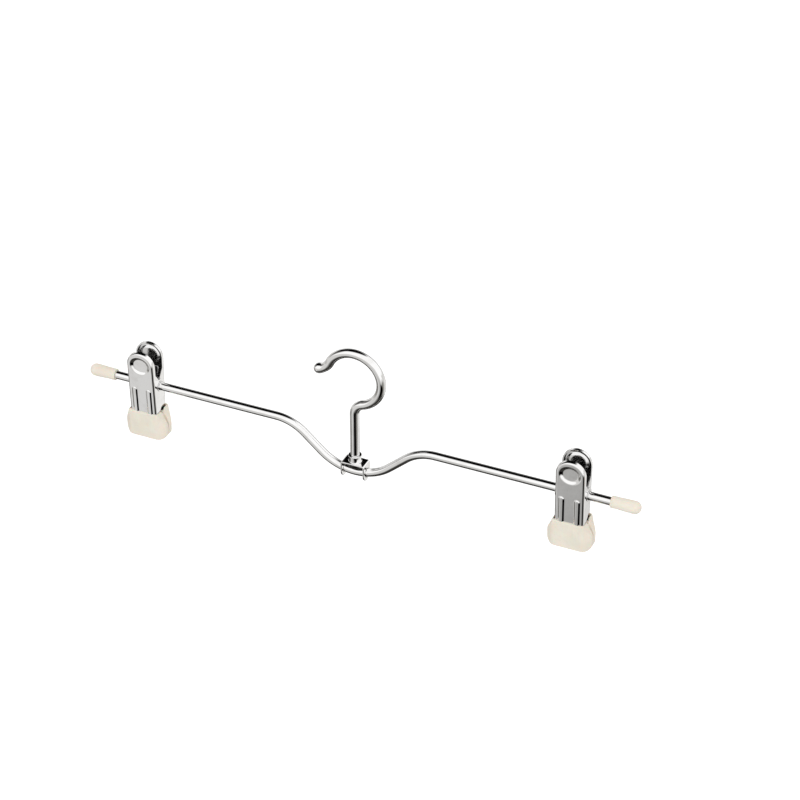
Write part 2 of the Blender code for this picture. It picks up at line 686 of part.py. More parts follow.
def make_tube(name, parts, chrome):
    """The rimmed tube that the two jaws pivot on and the spring is wound round; the bar runs through it."""
    rim = TUBE_OUTER + TUBE_RIM
    face = TUBE_HALF - TUBE_RIM_THICKNESS
    profile = [
        (rim, TUBE_HALF),
        (rim, face),
        (TUBE_OUTER, face),
        (TUBE_OUTER, -face),
        (rim, -face),
        (rim, -TUBE_HALF),
        (TUBE_BORE, -TUBE_HALF),
        (TUBE_BORE, TUBE_HALF),
    ]
    tube = apply_modifiers(turned(name, profile, parts))
    tube.data.transform(Matrix.Rotation(math.pi / 2, 4, "Y"))
    tube.data.materials.append(chrome)
    return tube


def make_clip(side_name, at, parts, cutters, finishes):
    """A whole clip. The back jaw and pad are the front ones turned half round about the upright."""
    chrome, steel, rubber = finishes
    pivot = bpy.data.objects.new(side_name + "_clip_pivot", None)
    link(pivot, parts)
    pivot.location = (at, 0.0, BAR_Z)
    made = [make_tube(side_name + "_pivot_tube", parts, chrome)]
    made.append(make_spring(side_name + "_spring", parts, steel))
    for which, turn in (("front", 0.0), ("back", math.pi)):
        for piece, finish, maker in (("jaw", chrome, make_jaw), ("pad", rubber, make_pad)):
            thing = maker(f"{side_name}_{which}_{piece}", parts, cutters, finish)
            thing.data.transform(Matrix.Rotation(turn, 4, "Z"))
            made.append(thing)
    for thing in made:
        thing.parent = pivot
    return made


def main():
    clear_scene()
    parts = collection("trouser_hanger")
    cutters = collection("cutters")
    chrome = material("chrome_plate", CHROME)
    steel = material("spring_steel", SPRING_STEEL)
    rubber = material("cream_silicone", CREAM_SILICONE)
    made = [make_hook(parts, cutters, chrome), make_saddle(parts, cutters, chrome), make_bar(parts, chrome)]
    made += [make_end_cap("left_end_cap", -1, parts, rubber), make_end_cap("right_end_cap", 1, parts, rubber)]
    made += make_clip("left", LEFT_CLIP_AT, parts, cutters, (chrome, steel, rubber))
    made += make_clip("right", RIGHT_CLIP_AT, parts, cutters, (chrome, steel, rubber))
    for thing in made:
        smooth(thing)
    print(f"bar axis z {BAR_Z / MM:.2f} mm, straight arms from x {dip_arcs()[2] / MM:.2f} mm")


main()
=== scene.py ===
# %% [markdown]
# # Dressing a trouser hanger
#
# The CAD frame holds every piece of the hanger at its real size, but faceted and plain. This
# lesson builds the fine surface of each piece on that frame: drawn wire, pressed and plated sheet
# steel, a wound spring, moulded silicone. Each piece but the spring then rides on the body that it
# belongs to.

import math

import bmesh
import bpy
import numpy as np
from mathutils import Matrix, Vector


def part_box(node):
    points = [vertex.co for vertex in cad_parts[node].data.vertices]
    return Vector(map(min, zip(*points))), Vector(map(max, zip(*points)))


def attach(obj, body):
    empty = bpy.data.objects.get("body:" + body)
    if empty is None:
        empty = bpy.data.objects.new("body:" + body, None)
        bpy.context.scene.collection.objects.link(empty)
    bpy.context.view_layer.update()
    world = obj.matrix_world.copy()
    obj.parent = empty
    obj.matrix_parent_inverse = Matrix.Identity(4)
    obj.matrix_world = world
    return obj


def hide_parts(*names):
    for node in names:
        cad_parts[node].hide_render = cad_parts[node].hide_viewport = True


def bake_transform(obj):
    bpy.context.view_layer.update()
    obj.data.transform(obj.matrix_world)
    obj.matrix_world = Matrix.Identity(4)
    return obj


MM = 0.001
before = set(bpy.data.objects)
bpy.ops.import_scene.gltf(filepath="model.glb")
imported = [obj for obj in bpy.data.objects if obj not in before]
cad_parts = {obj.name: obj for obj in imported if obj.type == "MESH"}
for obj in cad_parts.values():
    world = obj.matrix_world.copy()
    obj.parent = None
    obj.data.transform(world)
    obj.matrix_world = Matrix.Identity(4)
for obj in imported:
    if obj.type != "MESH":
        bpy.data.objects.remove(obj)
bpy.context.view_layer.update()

# %% [markdown]
# ## Places read from the frame
#
# The bar's axis and the two clips' middles come from the CAD pieces, so the fine pieces can't
# drift away from them. The end caps are round about the bar, so the middle of a cap's box is on
# its axis.

# %% Where the bar and the clips are


def middle(node):
    low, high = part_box(node)
    return (low + high) / 2


BAR_Z = middle("right_end_cap").z
CLIPS = {side: middle(side + "_pivot_tube").x for side in ("left", "right")}
BAR_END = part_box("bar")[1].x
print(f"bar axis {BAR_Z / MM:.2f} mm, clips {[round(x / MM, 1) for x in CLIPS.values()]} mm")

# %% [markdown]
# ## Node maths as plain expressions
#
# Materials, the light and the swept wires are all node trees. Writing `1 - mask * 0.5` is easier
# to read than placing Math nodes, so a socket is wrapped in a small class whose operators add the
# node that does the sum.

# %% Sockets that add up


class Wire:
    """A socket of a node tree. Sums and products with it add Math nodes."""

    def __init__(self, nodes, socket):
        self.nodes = nodes
        self.socket = socket

    def maths(self, operation, *operands):
        return self.nodes.add("ShaderNodeMath", dict(enumerate(operands)), operation=operation)

    def __add__(self, other):
        return self.maths("ADD", self, other)

    def __sub__(self, other):
        return self.maths("SUBTRACT", self, other)

    def __mul__(self, other):
        return self.maths("MULTIPLY", self, other)

    def __truediv__(self, other):
        return self.maths("DIVIDE", self, other)

    def __rsub__(self, other):
        return self.maths("SUBTRACT", other, self)

    def __rtruediv__(self, other):
        return self.maths("DIVIDE", other, self)

    __radd__ = __add__
    __rmul__ = __mul__

    def step(self, low, high):
        """0 below low, 1 above high and a smooth rise between; low may be above high."""
        sockets = {"Value": self, "From Min": low, "From Max": high}
        return self.nodes.add("ShaderNodeMapRange", sockets, interpolation_type="SMOOTHSTEP")


class Nodes:
    """A node tree, emptied and ready to be filled."""

    def __init__(self, tree):
        self.tree = tree
        tree.nodes.clear()

    def add(self, kind, sockets=None, output=0, **settings):
        """A node with its settings and its sockets' values or links; gives back one output."""
        node = self.tree.nodes.new(kind)
        for name, value in settings.items():
            setattr(node, name, value)
        for name, value in (sockets or {}).items():
            self.plug(self.find(node.inputs, name), value)
        return Wire(self, self.find(node.outputs, output)) if node.outputs else node

    def find(self, sockets, name):
        if isinstance(name, int):
            return sockets[name]
        found = [socket for socket in sockets if socket.identifier == name]
        return found[0] if found else sockets[name]

    def plug(self, socket, value):
        if isinstance(value, Wire):
            self.tree.links.new(value.socket, socket)
        elif socket.type == "RGBA":
            socket.default_value = (*value, 1.0)
        else:
            socket.default_value = value

    def mix(self, factor, first, second):
        """A colour between two colours."""
        sockets = {"Factor_Float": factor, "A_Color": first, "B_Color": second}
        return self.add("ShaderNodeMix", sockets, output="Result_Color", data_type="RGBA")


# %% [markdown]
# ## Finishes
#
# The wires and pressings are chrome plated steel. Real plating isn't a perfect mirror: it has a
# faint long wave from polishing, fine wipe marks, and fingerprints that dull it in patches. Each
# of these goes into the roughness or the bump, and the colour stays almost even. Object
# coordinates are in metres, so a noise of scale 200 has lumps of about 5 mm.

# %% A new finish


def blank_material(name):
    """A material and its emptied node tree."""
    made = bpy.data.materials.new(name)
    made.use_nodes = True
    return made, Nodes(made.node_tree)


def finish(name, build, **constants):
    """A material: build(nodes, coordinates) gives its varying sockets, constants the others."""
    made, nodes = blank_material(name)
    where = nodes.add("ShaderNodeTexCoord", output="Object")
    sockets = {**build(nodes, where), **constants}
    surface = nodes.add("ShaderNodeBsdfPrincipled", sockets)
    nodes.add("ShaderNodeOutputMaterial", {"Surface": surface})
    return made


def noise(nodes, where, scale, detail, stretch=None):
    """Cloudy values round 0.5, stretched along an axis where stretch is given."""
    if stretch:
        where = nodes.add("ShaderNodeMapping", {"Vector": where, "Scale": stretch})
    return nodes.add("ShaderNodeTexNoise", {"Vector": where, "Scale": scale, "Detail": detail})


def bump(nodes, height, distance):
    return nodes.add("ShaderNodeBump", {"Height": height, "Distance": distance})


# %% Chrome on wire and on sheet


def chrome_build(polish, wave):
    """Plating of a given roughness, over steel whose surface waves by a given height."""
    def build(nodes, where):
        smears = noise(nodes, where, 160, 3.0).step(0.48, 0.72)
        wipes = noise(nodes, where, 900, 2.0, stretch=(1.0, 0.35, 0.12)).step(0.35, 0.75)
        ripple = noise(nodes, where, 130, 1.0) + noise(nodes, where, 420, 1.0) * 0.25
        tone = nodes.mix(smears, (0.93, 0.925, 0.92), (0.87, 0.86, 0.85))
        return {
            "Base Color": tone,
            "Roughness": polish + smears * 0.04 + wipes * 0.025,
            "Normal": bump(nodes, ripple, wave),
        }
    return build


CHROME_WIRE = finish("chrome_on_wire", chrome_build(0.03, 0.05 * MM), Metallic=1.0)
CHROME_SHEET = finish("chrome_on_sheet", chrome_build(0.05, 0.03 * MM), Metallic=1.0)
print("chrome finishes made")

# %% [markdown]
# Inside a folded jaw the chrome gets painted shade: its colour stays bright near the open top and
# is painted nearly black and dull further down, where little light gets in. Height above the bar
# decides how dark the painted shade is.

# %% Painted shade inside the jaws


def inside_shade_build(nodes, where):
    height = nodes.add("ShaderNodeSeparateXYZ", {"Vector": where}, output="Z") - BAR_Z
    blotch = noise(nodes, where, 350, 3.0) - 0.5
    # Painted shade: 0 high in the jaw and 1 low down, with a blotchy edge; it darkens the colour
    # and dulls the shine.
    painted_shade = (height + blotch * (6 * MM)).step(18 * MM, 9 * MM)
    stain = noise(nodes, where, 1400, 2.0)
    return {
        "Base Color": nodes.mix(painted_shade, (0.86, 0.855, 0.85), (0.10, 0.098, 0.095)),
        "Roughness": 0.08 + painted_shade * 0.22 + stain * 0.06,
        "Normal": bump(nodes, stain, 0.02 * MM),
    }


CHROME_INSIDE_PAINTED_SHADE = finish("chrome_inside_painted_shade", inside_shade_build, Metallic=1.0)
print("inside finish made")

# %% [markdown]
# The spring is bare drawn steel, greyer and duller than the plating, with the drawing marks of
# the die round it. The pads and caps are moulded cream silicone: matt with a dull shine, a fine
# grain from the mould, slightly cloudy in colour, and a little light goes into it. That last part
# is constant, so it is set on the shader's own sockets.

# %% Spring steel and silicone


def steel_build(nodes, where):
    marks = noise(nodes, where, 2500, 2.0, stretch=(1.0, 0.2, 0.2))
    cloud = noise(nodes, where, 300, 2.0)
    return {
        "Base Color": nodes.mix(cloud, (0.52, 0.52, 0.53), (0.64, 0.63, 0.62)),
        "Roughness": 0.20 + marks * 0.16,
        "Normal": bump(nodes, marks, 0.01 * MM),
    }


def silicone_build(nodes, where):
    cloud = noise(nodes, where, 120, 3.0).step(0.3, 0.7)
    grain = noise(nodes, where, 3200, 2.0)
    speck = noise(nodes, where, 1100, 1.0).step(0.62, 0.78)
    cream = nodes.mix(cloud, (0.83, 0.765, 0.665), (0.79, 0.72, 0.61))
    return {
        "Base Color": nodes.mix(speck * 0.35, cream, (0.70, 0.63, 0.52)),
        "Roughness": 0.42 + cloud * 0.10 + grain * 0.12,
        "Normal": bump(nodes, grain + cloud * 2.0, 0.03 * MM),
    }


SPRING_STEEL = finish("spring_steel_wire", steel_build, Metallic=1.0)
SOFT = {"Subsurface Weight": 0.18, "Subsurface Scale": 0.002, "IOR": 1.41}
SILICONE = finish("cream_silicone_moulded", silicone_build, **SOFT)
print("steel and silicone made")

# %% [markdown]
# ## From a mesh to a piece
#
# Every piece ends the same way.

# %% Helpers for every piece

WELD = 0.002 * MM


def added(name, data):
    """A new object in the scene."""
    made = bpy.data.objects.new(name, data)
    bpy.context.scene.collection.objects.link(made)
    return made


def worked(mesh, *steps):
    """Runs steps on a mesh that is open in bmesh, and turns its faces outwards."""
    bm = bmesh.new()
    bm.from_mesh(mesh)
    for step in steps:
        step(bm)
    bmesh.ops.recalc_face_normals(bm, faces=bm.faces[:])
    bm.to_mesh(mesh)
    bm.free()
    return mesh


def weld(bm):
    bmesh.ops.remove_doubles(bm, verts=bm.verts[:], dist=WELD)


def drop_slivers(bm):
    """Takes out faces that a weld has left with an edge of their own."""
    slivers = [face for face in bm.faces if any(len(edge.link_faces) == 1 for edge in face.edges)]
    bmesh.ops.delete(bm, geom=slivers, context="FACES")


def closed(piece, sharp=40):
    """Welded and without slivers, smooth but for edges sharper than an angle."""
    worked(piece.data, weld, drop_slivers)
    piece.data.shade_smooth()
    piece.data.set_sharp_from_angle(angle=math.radians(sharp))
    return piece


def result_mesh(thing):
    """The mesh that an object's modifiers give."""
    bpy.context.view_layer.update()
    graph = bpy.context.evaluated_depsgraph_get()
    return bpy.data.meshes.new_from_object(thing.evaluated_get(graph))


def on_body(piece, body, nodes):
    """The piece stands for its CAD nodes and moves with its body."""
    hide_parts(*nodes)
    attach(piece, body)
    print(f"{piece.name}: {len(piece.data.polygons)} faces on {body}")


# %% Points in a row


def arc(centre, radius, start, end, step=2.5):
    """Points of an arc in a plane, from one angle to another, in steps of so many degrees."""
    count = max(2, math.ceil(abs(end - start) / math.radians(step)))
    turns = np.linspace(start, end, count + 1)
    return [(centre[0] + radius * math.cos(a), centre[1] + radius * math.sin(a)) for a in turns]


def graded(*stops):
    """Values from the first stop to the last; each stop says how many equal steps follow it."""
    pairs = zip(stops, stops[1:])
    runs = [np.linspace(low, high, steps, endpoint=False) for (low, steps), (high, _) in pairs]
    return np.concatenate([*runs, [stops[-1][0]]])


def smooth_step(value):
    value = np.clip(value, 0.0, 1.0)
    return value * value * (3 - 2 * value)


# %% [markdown]
# ## Wires swept by Geometry Nodes
#
# The hook, the bar and the springs are each one round wire bent along a line. A node group sweeps
# a circle along whatever line it is given, closes the ends and gives the result its finish, so
# all the wires share one rule. The result is read back as a plain mesh.

# %% The swept wire group


def group_with(name, numbers):
    """A geometry group with a line or mesh in and out, and named sizes."""
    tree = bpy.data.node_groups.new(name, "GeometryNodeTree")
    tree.interface.new_socket("Geometry", in_out="OUTPUT", socket_type="NodeSocketGeometry")
    tree.interface.new_socket("Geometry", in_out="INPUT", socket_type="NodeSocketGeometry")
    for label, kind in numbers:
        tree.interface.new_socket(label, in_out="INPUT", socket_type="NodeSocket" + kind)
    nodes = Nodes(tree)
    given = tree.nodes.new("NodeGroupInput")
    return nodes, {socket.name: Wire(nodes, socket) for socket in given.outputs if socket.name}


def sweep_group():
    """A round wire along a given line, with closed ends and a finish."""
    numbers = [("Diameter", "Float"), ("Sides", "Int"), ("Finish", "Material")]
    nodes, given = group_with("swept_wire", numbers)
    ring = {"Resolution": given["Sides"], "Radius": given["Diameter"] / 2}
    circle = nodes.add("GeometryNodeCurvePrimitiveCircle", ring)
    width = nodes.add("GeometryNodeInputRadius")
    ends = {"Profile Curve": circle, "Scale": width, "Fill Caps": True}
    line = {"Curve": given["Geometry"], **ends}
    tube = nodes.add("GeometryNodeCurveToMesh", line)
    round_tube = nodes.add("GeometryNodeSetShadeSmooth", {"Geometry": tube})
    real = nodes.add("GeometryNodeRealizeInstances", {"Geometry": round_tube})
    done = nodes.add("GeometryNodeSetMaterial", {"Geometry": real, "Material": given["Finish"]})
    nodes.add("NodeGroupOutput", {"Geometry": done})
    return nodes.tree


SWEEP = sweep_group()
print("sweep group:", [item.name for item in SWEEP.interface.items_tree if item.in_out == "INPUT"])

# %% Setting a tree's inputs and reading its result


def grown(name, source, tree, values):
    """Runs a geometry tree on an object and gives back the result as a plain mesh object."""
    run = source.modifiers.new(name, "NODES")
    run.node_group = tree
    for item in tree.interface.items_tree:
        if item.in_out == "INPUT" and item.name in values:
            run[item.identifier] = values[item.name]
    mesh = result_mesh(source)
    mesh.name = name
    bpy.data.objects.remove(source)
    return closed(added(name, mesh), 30)


def line_object(name, points, widths=None):
    """A curve through the points; widths scale the wire's thickness along it."""
    curve = bpy.data.curves.new(name, "CURVE")
    curve.dimensions = "3D"
    spline = curve.splines.new("POLY")
    spline.points.add(len(points) - 1)
    for knot, place, width in zip(spline.points, points, widths or [1.0] * len(points)):
        knot.co = (*place, 1.0)
        knot.radius = width
    return added(name, curve)


# %% [markdown]
# ## The bar
#
# One 4.5 mm wire, bent in three places: two shoulders and the round dip between them, where the
# saddle sits. The corners where the straight runs would meet are placed first, and a Fillet Curve
# node then rounds each with its own radius, which is how a wire bender works too.

# %% The bar's tree and mesh

BAR_WIRE = 4.5 * MM
DIP_DEPTH = 22.5 * MM
DIP_RADIUS = 30.0 * MM
SHOULDER_RADIUS = 25.0 * MM
DIP_SLOPE = math.radians(41.5)
WIRE_SIDES = 48


def bar_tree():
    """The bar's line from its sizes, swept with the bar's wire."""
    sizes = ["Half Length", "Height", "Depth", "Slope", "Dip Radius", "Shoulder Radius", "Diameter"]
    numbers = [(label, "Float") for label in sizes] + [("Sides", "Int"), ("Finish", "Material")]
    nodes, given = group_with("dipped_bar", numbers)
    half, height, depth, slope, dip, side_bend = [given[label] for label in sizes[:6]]
    cosine = slope.maths("COSINE", slope)
    drop = depth + dip * (1.0 / cosine - 1.0)
    shoulder = drop / slope.maths("TANGENT", slope)
    knots = nodes.add("GeometryNodeMeshLine", {"Count": 5})
    place = nodes.add("GeometryNodeInputIndex") - 2.0
    away = place.maths("ABSOLUTE", place)
    end = away.maths("GREATER_THAN", away, 1.5)
    bottom = away.maths("LESS_THAN", away, 0.5)
    reach = end * half + (1.0 - end) * shoulder
    side = place.maths("SIGN", place)
    spot = {"X": side * reach, "Y": 0.0, "Z": height - bottom * drop}
    spot = nodes.add("ShaderNodeCombineXYZ", spot)
    bent = nodes.add("GeometryNodeSetPosition", {"Geometry": knots, "Position": spot})
    line = nodes.add("GeometryNodeMeshToCurve", {"Mesh": bent})
    radius = bottom * dip + (1.0 - bottom) * side_bend
    corners = {"Curve": line, "Radius": radius, "Count": 40}
    rounded = nodes.add("GeometryNodeFilletCurve", corners, mode="POLY")
    rounded = nodes.add("GeometryNodeSetCurveRadius", {"Curve": rounded, "Radius": 1.0})
    sweep = {label: given[label] for label in ("Diameter", "Sides", "Finish")}
    swept = nodes.add("GeometryNodeGroup", {"Geometry": rounded, **sweep}, node_tree=SWEEP)
    nodes.add("NodeGroupOutput", {"Geometry": swept})
    return nodes.tree


bar_sizes = {
    "Half Length": BAR_END, "Height": BAR_Z, "Depth": DIP_DEPTH, "Slope": DIP_SLOPE,
    "Dip Radius": DIP_RADIUS, "Shoulder Radius": SHOULDER_RADIUS, "Diameter": BAR_WIRE,
    "Sides": WIRE_SIDES, "Finish": CHROME_WIRE,
}
bar = grown("bar_wire", line_object("bar_start", [(0, 0, 0), (0, 0, 1)]), bar_tree(), bar_sizes)
on_body(bar, "bar", ["bar"])

# %% [markdown]
# ## The hook
#
# A 5 mm wire: a round loop that opens to the left, a small flare that ends in a ball so that it
# doesn't scratch the rail, a neck that brings the shank back under the loop's middle, and a flat
# head under the saddle. The ball is a swelling of the same wire, so it is made by widening the
# sweep near the tip and closing it as a half sphere, and the head is widened the same way at the
# other end. The head's outline is a short list of heights, each with how far it stays inside the
# head's radius.

# %% The hook's line

HOOK_WIRE = 5.0 * MM
LOOP_RADIUS = 15.5 * MM
NECK_RADIUS = 7.0 * MM
FLARE_RADIUS = 8.7 * MM
FLARE_START = math.radians(155)
FLARE_TURN = math.radians(53.5)
TIP_BALL = 5.7 * MM
TIP_TAPER = 3.2 * MM
HEAD_DIAMETER = 7.4 * MM
HEAD_STARTS = 1.55 * MM
HEAD_STEPS = [(1.5, 0.1), (1.45, 0.0), (0.5, 0.0), (0.15, 0.15), (0.0, 0.5)]
SHANK_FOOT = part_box("hook")[0].z
LOOP_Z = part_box("hook")[1].z - HOOK_WIRE / 2 - LOOP_RADIUS


def hook_line():
    """Points from the ball tip round the loop and down to the head, in X and Z."""
    reach = LOOP_RADIUS + FLARE_RADIUS
    flare = (reach * math.cos(FLARE_START), LOOP_Z + reach * math.sin(FLARE_START))
    leaves = FLARE_START + math.pi
    drop = math.sqrt((LOOP_RADIUS + NECK_RADIUS) ** 2 - NECK_RADIUS ** 2)
    meets = math.atan2(-drop, NECK_RADIUS)
    line = arc(flare, FLARE_RADIUS, leaves - FLARE_TURN, leaves)
    line += arc((0.0, LOOP_Z), LOOP_RADIUS, FLARE_START, meets)[1:]
    line += arc((NECK_RADIUS, LOOP_Z - drop), NECK_RADIUS, meets + math.pi, math.pi)[1:]
    rises = [HEAD_STARTS] + [rise * MM for rise, _ in HEAD_STEPS]
    return line + [(0.0, SHANK_FOOT + rise) for rise in rises]


line = np.array(hook_line())
print(f"hook line: {len(line)} points, foot {SHANK_FOOT / MM:.2f} mm")

# %% The hook's mesh

radius, ball = HOOK_WIRE / 2, TIP_BALL / 2
before = line[0] - line[1]
before = before / np.linalg.norm(before)
cap_turns = np.radians([88, 80, 70, 60, 50, 40, 30, 20, 10])
cap = [(line[0] + before * ball * math.sin(a), ball * math.cos(a)) for a in cap_turns]
along = np.concatenate([[0.0], np.cumsum(np.linalg.norm(np.diff(line, axis=0), axis=1))])
swell = radius + (ball - radius) * smooth_step(1 - along / TIP_TAPER)
swell[-len(HEAD_STEPS):] = [HEAD_DIAMETER / 2 - less * MM for _, less in HEAD_STEPS]
points = [(p[0], 0.0, p[1]) for p, _ in cap] + [(x, 0.0, z) for x, z in line]
widths = [w / radius for _, w in cap] + list(swell / radius)
wire_sizes = {"Diameter": HOOK_WIRE, "Sides": WIRE_SIDES, "Finish": CHROME_WIRE}
hook = grown("hook_wire", line_object("hook_line", points, widths), SWEEP, wire_sizes)
on_body(hook, "hook", ["hook"])

# %% [markdown]
# ## Sheet pressings
#
# The saddle and the jaws are sheet steel, laid out as grids of points worked out with numpy. A
# jaw starts as one open surface: Solidify gives it the sheet's thickness on the inner side, and a
# small Bevel rounds the sheared edges, which is where real plated sheet catches the light. The
# saddle's strip is one closed skin whose section is already rounded. Holes are cut last, so that
# nothing has to deal with their short edges.

# %% Helpers for sheet


def drop_loose_points(bm):
    bmesh.ops.delete(bm, geom=[v for v in bm.verts if not v.link_faces], context="VERTS")


def grid_mesh(name, rows, material, keep=None):
    """A surface from an array of points, rows by columns; keep says which cells have a face."""
    high, wide, _ = rows.shape
    mesh = bpy.data.meshes.new(name)
    cells = [(r, c) for r in range(high - 1) for c in range(wide - 1) if keep is None or keep[r, c]]
    corners = [r * wide + c for r, c in cells]
    faces = [(i, i + 1, i + wide + 1, i + wide) for i in corners]
    mesh.from_pydata(rows.reshape(-1, 3).tolist(), [], faces)
    mesh.materials.append(material)
    return added(name, worked(mesh, weld, drop_loose_points))


def modified(piece, *changes):
    """Adds modifiers given as (type, settings) and turns the result into the object's own mesh."""
    for kind, settings in changes:
        change = piece.modifiers.new(kind.lower(), kind)
        for name, value in settings.items():
            setattr(change, name, value)
    mesh = result_mesh(piece)
    piece.modifiers.clear()
    piece.data = mesh
    return piece


def moved(matrix):
    """A step that sets a mesh in place."""
    return lambda bm: bmesh.ops.transform(bm, matrix=matrix, verts=bm.verts[:])


def tool(name, shape, matrix, **sizes):
    """An object from one of the shapes that bmesh has, set in place by a matrix."""
    mesh = bpy.data.meshes.new(name)
    return added(name, worked(mesh, lambda bm: shape(bm, **sizes), moved(matrix)))


def cut(piece, *tools):
    """Takes the tools away from the piece and throws them out."""
    for cutter in tools:
        settings = {"operation": "DIFFERENCE", "object": cutter, "solver": "EXACT"}
        modified(piece, ("BOOLEAN", settings))
        bpy.data.objects.remove(cutter)
    return piece


def drill(name, radius, length, place, axis):
    """A round cutter about the X or the Z axis."""
    turn = Matrix.Rotation(math.pi / 2, 4, "Y") if axis == "X" else Matrix()
    stance = Matrix.Translation(place) @ turn
    sizes = {"segments": 72, "radius1": radius, "radius2": radius, "depth": length}
    return tool(name, bmesh.ops.create_cone, stance, cap_ends=True, **sizes)


def give_painted_shade(piece, is_hidden):
    """Gives the faces that a test picks the chrome with painted shade of an inside."""
    piece.data.materials.append(CHROME_INSIDE_PAINTED_SHADE)
    for face in piece.data.polygons:
        if is_hidden(face):
            face.material_index = 1


def turned(name, profile, material, sides=96):
    """A closed outline of (radius, height) pairs turned about Z."""
    turns = np.linspace(0, 2 * math.pi, sides + 1)
    rows = [[(r * math.cos(a), r * math.sin(a), h) for r, h in profile] for a in turns]
    return grid_mesh(name, np.array(rows), material)


# %% [markdown]
# ## The saddle
#
# A strip of 0.9 mm steel folded over the dip, with a round-ended tab at each side for the bar to
# run through and a drawn collar on top for the hook's shank. The strip is drawn on its flat
# blank: the section has rounded edges, it stands in stations along the strip, and at each tab's
# end it turns round a half circle. Every point is then folded into place. The underside gets
# painted shade, like the inside of a jaw, and so does the head of the hook below it.

# %% The strip

SADDLE_WIDTH = 7.9 * MM
SADDLE_SHEET = 0.9 * MM
SADDLE_BEND = 1.15 * MM
SADDLE_EDGE = 0.32 * MM
SADDLE_OVER_DIP = 6.5 * MM
TAB_HOLE = 2.72 * MM
COLLAR_BORE = 2.7 * MM
saddle_low, saddle_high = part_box("saddle_bracket")
SADDLE_HALF = saddle_high.x
SADDLE_TOP = BAR_Z - DIP_DEPTH + SADDLE_OVER_DIP
TAB_FOOT = saddle_low.z
BEND_STARTS = SADDLE_HALF - SADDLE_BEND
BEND_ENDS = BEND_STARTS + SADDLE_BEND * math.pi / 2
TAB_CENTRE = BEND_ENDS + SADDLE_TOP - SADDLE_BEND - TAB_FOOT - SADDLE_WIDTH / 2


def strip_place(along, across, depth):
    """A point of the folded strip, from its place on the flat blank and its depth in the sheet."""
    side, along = math.copysign(1, along), abs(along)
    turn = min(max((along - BEND_STARTS) / SADDLE_BEND, 0.0), math.pi / 2)
    outer = SADDLE_BEND - depth
    x = min(along, BEND_STARTS) + outer * math.sin(turn)
    z = SADDLE_TOP - SADDLE_BEND + outer * math.cos(turn) - max(along - BEND_ENDS, 0.0)
    return side * x, across, z


def quarter(radius):
    """A quarter round from one flat to the other: how far each point is from the two."""
    turns = np.linspace(0, math.pi / 2, 7)
    return [(radius * (1 - math.cos(a)), radius * (1 - math.sin(a))) for a in turns]


def saddle_strip():
    """The whole strip as one skin: stations along it, and round its rounded section at each."""
    round_end = SADDLE_WIDTH / 2
    half = quarter(SADDLE_EDGE)
    half += [(inset, 0.0) for inset in np.linspace(SADDLE_EDGE, round_end, 9)[1:]]
    top = [(-1, *spot) for spot in half] + [(1, *spot) for spot in half[-2::-1]]
    ring = top + [(side, inset, SADDLE_SHEET - depth) for side, inset, depth in top[::-1]] + top[:1]
    spots = graded((0, 13), (BEND_STARTS, 10), (BEND_ENDS, 11), (TAB_CENTRE, 0))
    right = [(along, math.pi / 2) for along in spots]
    right += [(TAB_CENTRE, a) for a in np.linspace(math.pi / 2, 0, 25)[1:]]
    rows = []
    for along, turn in [(-along, turn) for along, turn in right[:0:-1]] + right:
        ahead, aside = math.copysign(math.cos(turn), along), math.sin(turn)
        row = []
        for side, inset, depth in ring:
            out = round_end - inset
            row.append(strip_place(along + out * ahead, side * out * aside, depth))
        rows.append(row)
    return np.array(rows)


strip = closed(grid_mesh("saddle_strip", saddle_strip(), CHROME_SHEET))
flat_half = SADDLE_WIDTH / 2 - SADDLE_EDGE
# The flat underside of the strip gets the chrome with painted shade.
give_painted_shade(strip, lambda face: face.normal.z < -0.99 and abs(face.center.y) < flat_half)
tab = SADDLE_HALF - SADDLE_SHEET / 2
bar_at_tab = BAR_Z - DIP_DEPTH + DIP_RADIUS - math.sqrt(DIP_RADIUS ** 2 - tab ** 2)
strip = cut(
    strip,
    drill("bar_hole", TAB_HOLE, 4 * SADDLE_HALF, (0, 0, bar_at_tab), "X"),
    drill("shank_hole", COLLAR_BORE, 6 * MM, (0, 0, SADDLE_TOP), "Z"),
)
print("saddle strip:", len(strip.data.polygons), "faces")

# %% The collar

COLLAR_HEIGHT = 4.0 * MM
COLLAR_RADIUS = 3.25 * MM
COLLAR_SWEEP = 0.6 * MM
COLLAR_ROOT = -0.4 * MM
CROWN_RADIUS = 0.25 * MM
CROWN_OUT = 0.1 * MM
COLLAR_LIP = [(0.35 * MM, 0.55 * MM), (0.0, 0.9 * MM)]


def collar_profile():
    """From the bore over the crown, in under its lip, down the wall and out along the foot."""
    over, top = COLLAR_RADIUS, COLLAR_HEIGHT
    crown_at = (over + CROWN_OUT, top - CROWN_RADIUS)
    crown = arc(crown_at, CROWN_RADIUS, math.pi / 2, 0.0, 22)
    lip = [(over + out, top - down) for out, down in COLLAR_LIP]
    foot = [(over + out, up) for out, up in quarter(COLLAR_SWEEP)]
    root = [(foot[-1][0], COLLAR_ROOT), (COLLAR_BORE, COLLAR_ROOT)]
    return [(COLLAR_BORE, top), *crown, *lip, *foot, *root, (COLLAR_BORE, top)]


collar = turned("saddle_collar", collar_profile(), CHROME_SHEET)
collar.data.transform(Matrix.Translation((0, 0, SADDLE_TOP)))


def joined(name, *pieces):
    """One object from several meshes."""
    def gather(bm):
        for piece in pieces:
            bm.from_mesh(piece.data)

    mesh = worked(bpy.data.meshes.new(name), gather)
    for material in pieces[0].data.materials:
        mesh.materials.append(material)
    for piece in pieces:
        bpy.data.objects.remove(piece)
    return added(name, mesh)


saddle = closed(joined("saddle", closed(strip), closed(collar)))
on_body(saddle, "bar", ["saddle_bracket"])
